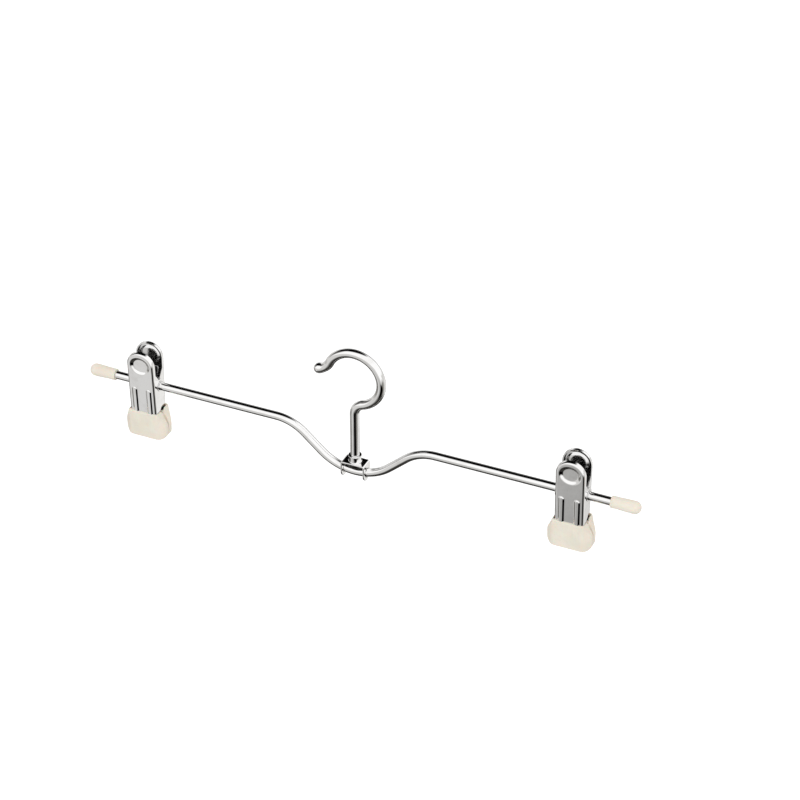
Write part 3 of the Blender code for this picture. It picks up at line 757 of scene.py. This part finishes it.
# The hook's head under the saddle gets the chrome with painted shade.
give_painted_shade(hook, lambda face: face.center.z < SADDLE_TOP - SADDLE_SHEET)

# %% [markdown]
# ## End caps
#
# A dipped or moulded sleeve over each end of the bar, with a round tip that is a little fatter
# than its mouth. It is a turned shape, so one profile is spun and then laid along the bar.

# %% The two caps

CAP_LENGTH = 16.0 * MM
CAP_RADIUS = 3.15 * MM
CAP_TIP = 3.4 * MM
CAP_BORE = BAR_WIRE / 2 + 0.05 * MM
CAP_END_WALL = 1.7 * MM
CAP_MOUTH_EDGE = 0.3 * MM
CAP_SWELLS_AT = 7.0 * MM
CAP_SWELLS_OVER = 2.5 * MM


def cap_profile():
    """Half of a cap's section, from its tip along the outside to the mouth and back in the bore."""
    tip = arc((0.0, CAP_LENGTH - CAP_TIP), CAP_TIP, math.pi / 2, 0.0, 5)
    heights = np.linspace(CAP_LENGTH - CAP_TIP, 0.5 * MM, 24)[1:]
    swell = [0.5 + 0.5 * math.tanh((h - CAP_SWELLS_AT) / CAP_SWELLS_OVER) for h in heights]
    body = [(CAP_RADIUS + (CAP_TIP - CAP_RADIUS) * share, h) for share, h in zip(swell, heights)]
    edge = CAP_MOUTH_EDGE
    mouth = arc((CAP_RADIUS - edge, edge), edge, 0.0, -math.pi / 2, 15)
    depth = CAP_LENGTH - CAP_END_WALL
    return tip + body + mouth + [(CAP_BORE, 0.0), (CAP_BORE, depth), (0.0, depth)]


for side, sign in (("left", -1), ("right", 1)):
    sleeve = turned(side + "_cap", cap_profile(), SILICONE, sides=72)
    mouth_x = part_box(side + "_end_cap")[0 if sign > 0 else 1].x
    outwards = Matrix.Rotation(sign * math.pi / 2, 4, "Y")
    sleeve.data.transform(Matrix.Translation((mouth_x, 0, BAR_Z)) @ outwards)
    on_body(closed(sleeve), "bar", [side + "_end_cap"])

# %% [markdown]
# ## The jaws
#
# All four jaws are the same pressing: a plate with a round top whose rim is folded back, an ear
# on each side for the pivot, a flange that runs down to the pads, two stiffening ribs and a thumb
# dimple. Its surface is laid out in columns along the outline and rows from the middle line out
# to the rim, over the fold and down the flange. Ribs and dimple are heights added to the flat
# rows. The flange's free edge is one rule of height: rim, ear, flange and the notch over the
# pads, with the hollow corner above the ear rounded. One mesh is made and used four times.

# %% The jaw's sizes

JAW_SHEET = 0.7 * MM
JAW_HALF = 8.0 * MM
JAW_FACE = -6.8 * MM
JAW_TOP = 22.6 * MM
JAW_FOOT = -28.0 * MM
FOLD = 1.15 * MM
RIM_EDGE = -4.2 * MM
RIM_ENDS_AT = 9.0 * MM
EAR_RADIUS = 4.2 * MM
EAR_LEAVES = math.radians(102)
EAR_Z = EAR_RADIUS * math.sin(EAR_LEAVES)
EAR_CORNER = 0.8 * MM
EAR_HOLE = 3.0 * MM
FLANGE_LAP = 0.6 * MM
FLANGE_FOOT = -12.0 * MM
NOTCH_TOP = (-2.3 * MM, -15.0 * MM)
DOME_Z = JAW_TOP - JAW_HALF
JAW_LEAN = math.radians(2.0)
JAW_SHIFT = 0.45 * MM
JAW_STANCE = Matrix.Rotation(JAW_LEAN, 4, "X") @ Matrix.Translation((JAW_SHIFT, 0, 0))

# %% Heights of the ribs and the dimple

RIB_AT = 4.3 * MM
RIB_HALF = 1.75 * MM
RIB_FLANK = 1.05 * MM
RIB_HEIGHT = 0.45 * MM
RIB_TOP = 0.75 * MM
DIMPLE_Z = 14.7 * MM
DIMPLE_HALF = (6.2 * MM, 5.6 * MM)
DIMPLE_WALL = 0.36
DIMPLE_DEPTH = 0.95 * MM


def press(x, z):
    """How far the face stands out at a point: ribs out, thumb dimple in."""
    over = np.maximum(z - (RIB_TOP - RIB_HALF), 0.0)
    apart = np.hypot(np.abs(x) - RIB_AT, over)
    ribs = RIB_HEIGHT * smooth_step((RIB_HALF - apart) / RIB_FLANK)
    across = np.hypot(x / DIMPLE_HALF[0], (z - DIMPLE_Z) / DIMPLE_HALF[1])
    return ribs - DIMPLE_DEPTH * smooth_step((1.0 - across) / DIMPLE_WALL)


# %% The flange's free edge


def sheared_edge(z):
    """Where the free edge of a side column ends, as (y, z): rim, ear, flange and notch."""
    lap = math.asin(FLANGE_LAP / EAR_RADIUS) - math.pi / 2
    ear_foot = EAR_RADIUS * math.sin(lap)
    ear_top = EAR_RADIUS * math.cos(EAR_LEAVES)
    if z >= RIM_ENDS_AT:
        return RIM_EDGE, z
    if z >= EAR_Z:
        share = (z - EAR_Z) / (RIM_ENDS_AT - EAR_Z)
        return ear_top + share * (RIM_EDGE - ear_top), z
    if z >= ear_foot:
        share = (z - ear_foot) / (EAR_Z - ear_foot)
        turn = lap + share * (EAR_LEAVES - lap)
        return EAR_RADIUS * math.cos(turn), EAR_RADIUS * math.sin(turn)
    if z >= FLANGE_FOOT:
        return FLANGE_LAP, z
    share = (z - NOTCH_TOP[1]) / (FLANGE_FOOT - NOTCH_TOP[1])
    return NOTCH_TOP[0] + max(share, 0.0) * (FLANGE_LAP - NOTCH_TOP[0]), z


def flange_edge(z):
    """The same edge with the hollow corner above the ear rounded."""
    t = (z - EAR_Z + EAR_CORNER) / (2 * EAR_CORNER)
    if not 0.0 < t < 1.0:
        return sheared_edge(z)
    ends = [sheared_edge(EAR_Z + step * EAR_CORNER) for step in (-1, 0, 1)]
    return tuple((1 - t) ** 2 * a + 2 * t * (1 - t) * b + t ** 2 * c for a, b, c in zip(*ends))


# %% The jaw's outer surface


def jaw_surface():
    """Rows of points and which cells to fill: middle line, flat face, fold, flange."""
    heights = graded(
        (JAW_FOOT, 29), (NOTCH_TOP[1], 17), (FLANGE_FOOT, 69), (2.0 * MM, 5), (3.2 * MM, 15),
        (5.0 * MM, 13), (8.5 * MM, 33), (DOME_Z, 0),
    )
    dome = np.linspace(math.pi, 0.0, 97)[1:-1]
    columns = [((0.0, z), (-1.0, 0.0), True) for z in heights]
    columns += [((0.0, DOME_Z), (math.cos(a), math.sin(a)), False) for a in dome]
    columns += [((0.0, z), (1.0, 0.0), True) for z in heights[::-1]]
    insets = graded((JAW_HALF, 7), (6.2 * MM, 39), (1.6 * MM, 3), (FOLD, 0))
    folds = np.linspace(0, math.pi / 2, 9)[1:]
    shares = np.linspace(0, 1, 12)[1:]
    flanged = len(insets) + len(folds)

    def spots(out):
        return [(b[0] + out * d[0], b[1] + out * d[1]) for b, d, _ in columns]

    flat = np.array([spots(JAW_HALF - inset) for inset in insets])
    face = JAW_FACE - press(flat[..., 0], flat[..., 1])
    points = [np.stack([flat[..., 0], face, flat[..., 1]], -1)]
    for turn in folds:
        back = JAW_FACE + FOLD * (1 - math.cos(turn))
        out = JAW_HALF - FOLD + FOLD * math.sin(turn)
        points.append(np.array([[(x, back, z) for x, z in spots(out)]]))
    starts = JAW_FACE + FOLD
    for share in shares:
        row = []
        for (x, z), (_, _, straight) in zip(spots(JAW_HALF), columns):
            edge = flange_edge(z) if straight else (RIM_EDGE, z)
            row.append((x, starts + share * (edge[0] - starts), z + share * (edge[1] - z)))
        points.append(np.array([row]))
    points = np.concatenate(points)
    keep = np.ones((len(points) - 1, len(columns) - 1), bool)
    low = np.array([straight and b[1] < NOTCH_TOP[1] - 1e-7 for b, _, straight in columns])
    keep[flanged - 1:, :] &= ~(low[1:] | low[:-1])
    return points, keep


surface, keep = jaw_surface()
print("jaw surface:", surface.shape)

# %% From surface to pressing

# material_offset gives the inner faces the second slot, the chrome with painted shade.
WALL = {"thickness": JAW_SHEET, "offset": -1.0, "material_offset": 1}
EDGE = {"width": 0.12 * MM, "segments": 2, "limit_method": "ANGLE", "angle_limit": math.radians(55)}

jaw = grid_mesh("jaw_pressing", surface, CHROME_SHEET, keep)
# An open surface has no inside, so its plate is turned to look forwards if it doesn't yet.
if sum(f.normal.y for f in jaw.data.polygons if abs(f.normal.y) > 0.9) > 0:
    jaw.data.flip_normals()
# The second slot: chrome with painted shade for the inside of the jaw.
jaw.data.materials.append(CHROME_INSIDE_PAINTED_SHADE)
jaw = modified(jaw, ("SOLIDIFY", WALL), ("BEVEL", EDGE))
jaw = closed(cut(jaw, drill("pivot_hole", EAR_HOLE, 5 * JAW_HALF, (0, 0, 0), "X")))
jaw.data.transform(JAW_STANCE)
print("jaw pressing:", len(jaw.data.polygons), "faces")


def four_copies(template, kind, suffix):
    """A template at each clip's pivot: as it is for the front, turned half round for the back."""
    for side, at in CLIPS.items():
        for half, turn in (("front", 0.0), ("back", math.pi)):
            copy = added(f"{side}_{half}_{kind}_{suffix}", template.data.copy())
            copy.data.transform(Matrix.Translation((at, 0, BAR_Z)) @ Matrix.Rotation(turn, 4, "Z"))
            on_body(copy, f"{side}_{half}_half", [f"{side}_{half}_{kind}"])
    bpy.data.objects.remove(template)


four_copies(jaw, "jaw", "pressing")

# %% [markdown]
# ## The pads
#
# A cream silicone sleeve over each jaw's foot. Seen from the front it widens from a neck to round
# corners; seen from above its face is flat over the plate and falls away to thinner wings. It is
# laid out like a pillow: rings shrink from the outline to the middle on the front and on the
# back, and the edge rings follow a small circle, so every edge is round. The wings of two closed
# pads part a little towards their tops, which shows as a thin line at the side. The slot for the
# jaw is cut afterwards.

# %% The pad's sizes and outline

PAD_TOP = -15.4 * MM
PAD_BOTTOM = -32.2 * MM
PAD_NECK = 9.1 * MM
PAD_HALF = 12.3 * MM
PAD_FLARE_ENDS = -25.0 * MM
PAD_CORNER = 3.2 * MM
PAD_TOP_CORNER = 1.1 * MM
PAD_MIDDLE = -23.5 * MM
PAD_FACE = 7.7 * MM
PAD_FACE_INSET = 0.28 * MM
PAD_SHOULDER = 0.55 * MM
PAD_CROWN = 0.18 * MM
PAD_CROWN_RISE = 6.0 * MM
RIB_TRACE = 0.16 * MM
RIB_TRACE_HALF = 1.7 * MM
RIB_TRACE_FLANK = 0.7 * MM
PAD_WING = 4.3 * MM
PAD_FLAT = 8.5 * MM
PAD_EDGE = 0.8 * MM
PAD_BACK_EDGE = 0.40 * MM
MATING = -0.15 * MM
WING_GAP = 0.6 * MM
WING_STARTS = 8.3 * MM
WING_FOOT_SHARE = 0.15
WING_PARTS_AT = 4.0 * MM
WING_PARTS_OVER = 9.0 * MM
NOTCH_LIP = 2.3 * MM


def pad_outline():
    """Closed front outline with a small round at the two top corners, anticlockwise from below."""
    flare, drop = PAD_HALF - PAD_NECK, PAD_TOP - PAD_FLARE_ENDS
    large, small = PAD_CORNER, PAD_TOP_CORNER
    base = [(x, PAD_BOTTOM) for x in np.linspace(0.0, PAD_HALF - large, 16)[:-1]]
    corner = arc((PAD_HALF - large, PAD_BOTTOM + large), large, -math.pi / 2, 0.0, 5)
    shares = np.linspace(1.0, small / drop, 30)
    waves = [(1 - math.cos(math.pi * share)) / 2 for share in shares]
    side = [(PAD_NECK + flare * wave, PAD_TOP - drop * s) for wave, s in zip(waves, shares)]
    top = arc((PAD_NECK - small, PAD_TOP - small), small, 0.0, math.pi / 2, 15)[1:]
    lid = [(x, PAD_TOP) for x in np.linspace(PAD_NECK - small, 0.0, 16)[1:]]
    half = base + corner + side + top + lid
    return np.array(half + [(-x, z) for x, z in reversed(half)][1:])


def inward(outline):
    """Unit normals that point into a closed outline whose last point repeats its first."""
    ahead = np.roll(outline[:-1], -1, axis=0)
    behind = np.roll(outline[:-1], 1, axis=0)
    along = ahead - behind
    along /= np.linalg.norm(along, axis=1)[:, None]
    normals = np.stack([-along[:, 1], along[:, 0]], -1)
    return np.concatenate([normals, normals[:1]])


# %% The pad's front and back


def pad_front(x, z):
    """Depth of the front: flat over the plate, falling to the wings, with the ribs just seen."""
    fall = (PAD_FACE - PAD_WING) / (PAD_HALF - PAD_FLAT)
    past = np.clip((np.abs(x) - PAD_FLAT) / PAD_SHOULDER, -30, 30)
    slope = fall * PAD_SHOULDER * np.log1p(np.exp(past))
    over = smooth_step((z - PAD_FLARE_ENDS) / (2 * MM))
    from_flank = RIB_TRACE_HALF - np.abs(np.abs(x) - RIB_AT)
    ridge = RIB_TRACE * over * smooth_step(from_flank / RIB_TRACE_FLANK)
    crown = PAD_CROWN * smooth_step((z - PAD_BOTTOM) / PAD_CROWN_RISE)
    return -PAD_FACE + PAD_FACE_INSET + slope - ridge - crown


def pad_back(x, z):
    """Depth of the gripping face: a chamfer under the flanges, and wings that part upwards."""
    wing = smooth_step((np.abs(x) - WING_STARTS) / (2 * MM))
    climb = smooth_step((z - PAD_BOTTOM - WING_PARTS_AT) / WING_PARTS_OVER)
    rise = WING_FOOT_SHARE + (1 - WING_FOOT_SHARE) * climb
    return -np.maximum(-MATING, z - (PAD_TOP - NOTCH_LIP)) - WING_GAP * wing * rise


def pad_rings():
    """Closed rings from the middle of the front, round the edges, to the middle of the back."""
    outline = pad_outline()
    normals = inward(outline)
    centre = np.array([0.0, PAD_MIDDLE])
    rings = []

    def ring(inset, shrink, depth):
        flat = outline + normals * inset
        flat = centre + (flat - centre) * shrink
        x, z = flat[:, 0], flat[:, 1]
        rings.append(np.stack([x, depth(x, z), z], -1))

    def front(x, z):
        return pad_front(x, z) - z * math.tan(JAW_LEAN)

    def edge(x, z, share):
        return (front(x, z) + PAD_EDGE) * (1 - share) + (pad_back(x, z) - PAD_BACK_EDGE) * share

    for shrink in np.linspace(0.0, 1.0, 34):
        ring(PAD_EDGE, shrink, front)
    for turn in np.linspace(0, math.pi / 2, 7)[1:]:
        sunk = PAD_EDGE * (1 - math.cos(turn))
        ring(PAD_EDGE * (1 - math.sin(turn)), 1.0, lambda x, z: front(x, z) + sunk)
    for share in (0.2, 0.4, 0.6, 0.8):
        ring(0.0, 1.0, lambda x, z: edge(x, z, share))
    for turn in np.linspace(0, math.pi / 2, 5):
        risen = PAD_BACK_EDGE * (1 - math.sin(turn))
        ring(PAD_BACK_EDGE * (1 - math.cos(turn)), 1.0, lambda x, z: pad_back(x, z) - risen)
    for shrink in np.linspace(1.0, 0.0, 20)[1:]:
        ring(PAD_BACK_EDGE, shrink, pad_back)
    return np.array(rings)


pad = closed(grid_mesh("pad_sleeve", pad_rings(), SILICONE), 60)
print("pad sleeve:", len(pad.data.polygons), "faces")

# %% The jaw's slot in the pad

SNUG = 0.03 * MM
SLOT_BACK = -5.4 * MM
SLOT_TOP = -10 * MM
THROAT_HALF = 8.45 * MM
THROAT_DEPTHS = (-5.7 * MM, -1.1 * MM)
THROAT_FLOOR = -19.5 * MM


def slot_tool(name, section, low, high, stance):
    """A section of (x, y) points drawn up between two heights."""
    rows = np.array([[(x, y, z) for x, y in section] for z in (low, high)])
    made = grid_mesh(name, rows, SILICONE)

    def fill_ends(bm):
        bmesh.ops.holes_fill(bm, edges=bm.edges[:], sides=0)

    worked(made.data, fill_ends, moved(stance))
    return made


def plate_section(gap, back):
    """The jaw's own section at the ribs with a gap round it, closed at the back."""
    across = np.linspace(-(JAW_HALF - FOLD), JAW_HALF - FOLD, 70)
    front = [(x, JAW_FACE - press(x, PAD_TOP) - gap) for x in across]
    corner = (JAW_HALF - FOLD, JAW_FACE + FOLD)
    fold = arc(corner, FOLD + gap, -math.pi / 2, 0.0, 15)[1:]
    side = [(JAW_HALF + gap, back), (-JAW_HALF - gap, back)]
    return front + fold + side + [(-x, y) for x, y in reversed(fold)] + front[:1]


near, far = THROAT_DEPTHS
throat = [(-THROAT_HALF, near), (THROAT_HALF, near), (THROAT_HALF, far), (-THROAT_HALF, far)]
slots = [
    slot_tool("plate_slot", plate_section(SNUG, SLOT_BACK), JAW_FOOT - SNUG, SLOT_TOP, JAW_STANCE),
    slot_tool("throat", throat + throat[:1], THROAT_FLOOR, SLOT_TOP, Matrix()),
]
pad = closed(cut(pad, *slots), 50)
four_copies(pad, "pad", "sleeve")

# %% [markdown]
# ## Pivot tubes and springs
#
# Inside each clip a thin tube rides on the bar, with its ends rolled over the ears so that it
# holds both jaws. A torsion spring is wound round it, with one leg behind each thumb tab. The wire
# is made in two lengths that meet in the middle of the coil, one with each leg.

# %% The tubes

TUBE_BORE = 2.45 * MM
TUBE_OUTER = 2.8 * MM
TUBE_RIM = 3.1 * MM
TUBE_HALF = JAW_HALF + JAW_SHIFT + 0.28 * MM
ROLL = 0.1 * MM


def tube_profile():
    """Half of a tube's wall, bore, rolled rim and outside, and its mirror image."""
    centre = (TUBE_RIM - ROLL, TUBE_HALF - ROLL)
    rim = arc(centre, ROLL, math.pi / 2, -math.pi / 2, 22)
    outside = [(TUBE_OUTER, TUBE_HALF - 2 * ROLL), (TUBE_OUTER, 0.0)]
    half = [(TUBE_BORE, 0.0), (TUBE_BORE, TUBE_HALF), *rim, *outside]
    return half + [(r, -h) for r, h in reversed(half)]


for side, at in CLIPS.items():
    tube = turned(side + "_tube", tube_profile(), CHROME_SHEET, sides=72)
    tube.data.transform(Matrix.Translation((at, 0, BAR_Z)) @ Matrix.Rotation(math.pi / 2, 4, "Y"))
    on_body(closed(tube), f"{side}_clip_tube", [side + "_pivot_tube"])

# %% The springs' lines

SPRING_WIRE = 1.1 * MM
SPRING_TURNS = 5.5
SPRING_PITCH = 1.62 * MM
COIL_RADIUS = 3.55 * MM
LEG_RISE = 7.8 * MM
LEG_FOOT = 2.4 * MM
LEG_REACH = 5.35 * MM + LEG_RISE * math.tan(JAW_LEAN)
LEG_ROOT = 1.0 * MM
LEG_BEND = 0.9 * MM
FOOT_LIFT = 0.3 * MM


def rounded(points, radius, steps=8):
    """A polyline with each inner corner replaced by a short curve."""
    points = [Vector(p) for p in points]
    out = [points[0]]
    for before, corner, after in zip(points, points[1:], points[2:]):
        reach = min(radius, (before - corner).length / 2, (after - corner).length / 2)
        start = corner + (before - corner).normalized() * reach
        end = corner + (after - corner).normalized() * reach
        for i in range(steps + 1):
            t = i / steps
            out.append(start * (1 - t) ** 2 + corner * 2 * t * (1 - t) + end * t * t)
    return out + [points[-1]]


def spring_half(sign):
    """One leg and its half of the coil, in the clip's own frame; sign -1 is the front leg."""
    half = SPRING_PITCH * SPRING_TURNS / 2
    start = math.pi if sign < 0 else 0.0
    coil = []
    for share in np.linspace(0.0, 0.5, 90):
        turn = start - sign * 2 * math.pi * SPRING_TURNS * share
        x = sign * half * (1 - 2 * share)
        coil.append((x, COIL_RADIUS * math.cos(turn), COIL_RADIUS * math.sin(turn)))
    x, reach, top = coil[0][0], sign * LEG_REACH, LEG_RISE + FOOT_LIFT
    leg = [(x - sign * LEG_FOOT, reach, top), (x, reach, top), (x, sign * COIL_RADIUS, LEG_ROOT)]
    return rounded(leg + coil[:1], LEG_BEND) + [Vector(p) for p in coil[1:]]


spring_sizes = {"Diameter": SPRING_WIRE, "Sides": 20, "Finish": SPRING_STEEL}
for side, at in CLIPS.items():
    for half, sign in (("front", -1), ("back", 1)):
        points = [p + Vector((at, 0, BAR_Z)) for p in spring_half(sign)]
        name = f"{side}_spring_{half}_length"
        length = grown(name, line_object(name + "_line", points), SWEEP, spring_sizes)
        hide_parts(side + "_spring")
        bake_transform(length)
        print(f"{name}: {len(length.data.polygons)} faces")

# %% [markdown]
# ## Floor, light and camera
#
# Chrome has no look of its own: it shows the room. The room here is a small white photo studio,
# written as the world's own shading. The metal sees the same white as the background, with what a
# studio has in it: a floor that darkens towards the feet of the table, a black card high up at
# the back left, a few grey cards round the horizon, and the three dark legs of the stand in
# front. Each card is a soft round patch with a direction, a size and a grey level. Later cards
# lie over earlier ones. Matt surfaces get an even white and one soft lamp for shape, so a colour
# renders about as it is written.

# %% The room that the metal shows

studio = bpy.data.worlds.new("studio")
bpy.context.scene.world = studio
studio.use_nodes = True
room = Nodes(studio.node_tree)
way = room.add("ShaderNodeTexCoord", output="Generated")
rise = room.add("ShaderNodeSeparateXYZ", {"Vector": way}, output="Z")


def light(level, warm=0.0):
    """A screen level from 0 to 255 as a colour of light."""
    value = (level / 255) ** 2.2
    return (value * (1 + warm * 0.4), value, value * (1 - warm))


def patch(azimuth, elevation, core, edge):
    """1 within core degrees of a direction of the room, and 0 beyond edge degrees."""
    a, e = math.radians(azimuth), math.radians(elevation)
    centre = (math.sin(a) * math.cos(e), -math.cos(a) * math.cos(e), math.sin(e))
    sockets = {0: way, 1: centre}
    near = room.add("ShaderNodeVectorMath", sockets, output="Value", operation="DOT_PRODUCT")
    return near.step(math.cos(math.radians(edge)), math.cos(math.radians(core)))


SOFTBOX = (1.06, 1.06, 1.06)
shown = room.mix(rise.step(0.16, 0.0), SOFTBOX, light(214, 0.02))
shown = room.mix(patch(48, 4, 20, 34), shown, SOFTBOX)
shown = room.mix(rise.step(-0.22, -0.58), shown, light(177, 0.02))
shown = room.mix(rise.step(-0.5, -0.86), shown, light(56, 0.10))
GREY_CARDS = [
    (patch(138, -32, 6, 30), light(240, 0.02)),
    (patch(-40, -33, 5, 20), light(214, 0.01)),
    (patch(-88, -38, 10, 34) * 0.85, light(100, 0.12)),
    (patch(-156, -36, 12, 32), light(96, 0.12)),
    (patch(64, -32, 6, 27), light(120, 0.10)),
    (patch(-92, 26, 10, 34), light(98, 0.06)),
    (patch(-172, 2, 8, 28), light(100, 0.06)),
]
BLACK_CARD = [(patch(-135, 54, 31, 48), light(12))]
STAND_PLACES = [(15, -39, 8, 15), (29, -39, 10, 17), (44, -41, 8, 17)]
STAND_LEGS = [(patch(*place), light(6)) for place in STAND_PLACES]
for card, tone in GREY_CARDS + BLACK_CARD + STAND_LEGS:
    shown = room.mix(card, shown, tone)
rays = room.add("ShaderNodeLightPath").socket.node.outputs
EVEN = (0.84, 0.84, 0.84)
seen = room.mix(Wire(room, rays["Is Glossy Ray"]), EVEN, shown)
for direct in ("Is Camera Ray", "Is Transmission Ray"):
    seen = room.mix(Wire(room, rays[direct]), seen, (1.0, 1.0, 1.0))
backdrop = room.add("ShaderNodeBackground", {"Color": seen, "Strength": 1.0})
room.add("ShaderNodeOutputWorld", {"Surface": backdrop})
print("studio room made")

# %% Floor and lamp

FLOOR_Z = -0.26
FLOOR_GLOW = 0.30


def floor_finish():
    """Matt white that glows a little to the camera, so that the backdrop stays white."""
    made, nodes = blank_material("studio_floor")
    matt = nodes.add("ShaderNodeBsdfDiffuse", {"Color": (0.90, 0.90, 0.90)})
    camera_ray = nodes.add("ShaderNodeLightPath", output="Is Camera Ray")
    glow = nodes.add("ShaderNodeEmission", {"Strength": camera_ray * FLOOR_GLOW})
    both = nodes.add("ShaderNodeAddShader", {0: matt, 1: glow})
    nodes.add("ShaderNodeOutputMaterial", {"Surface": both})
    return made


floor = tool("studio_floor", bmesh.ops.create_grid, Matrix.Translation((0, 0, FLOOR_Z)), size=8.0)
floor.data.materials.append(floor_finish())
floor.visible_glossy = False

lamp = bpy.data.lights.new("soft_lamp", "AREA")
lamp.energy = 11.0
lamp.size = 1.4
softbox = added("soft_lamp", lamp)
softbox.location = (0.55, -1.25, 1.35)
towards = Vector((0, 0, -0.04)) - softbox.location
softbox.rotation_euler = towards.to_track_quat("-Z", "Y").to_euler()
softbox.visible_glossy = False
print("floor at", FLOOR_Z, "m, lamp", lamp.energy, "W")

# %% Camera

EYE = Vector((0.47385, -0.98882, 0.69686))
AZIMUTH, ELEVATION = math.radians(24.36), math.radians(33.40)
right = Vector((math.cos(AZIMUTH), math.sin(AZIMUTH), 0))
level = Vector((math.sin(AZIMUTH), -math.cos(AZIMUTH), 0))
back = level * math.cos(ELEVATION) + Vector((0, 0, math.sin(ELEVATION)))
view = bpy.data.cameras.new("photo_view")
view.sensor_width = 36.0
view.lens = 113.11
view.clip_start, view.clip_end = 0.05, 50.0
camera = added("photo_view", view)
turn = Matrix((right, back.cross(right), back)).transposed().to_4x4()
camera.matrix_world = Matrix.Translation(EYE) @ turn
bpy.context.scene.camera = camera
bpy.context.scene.view_settings.view_transform = "Standard"
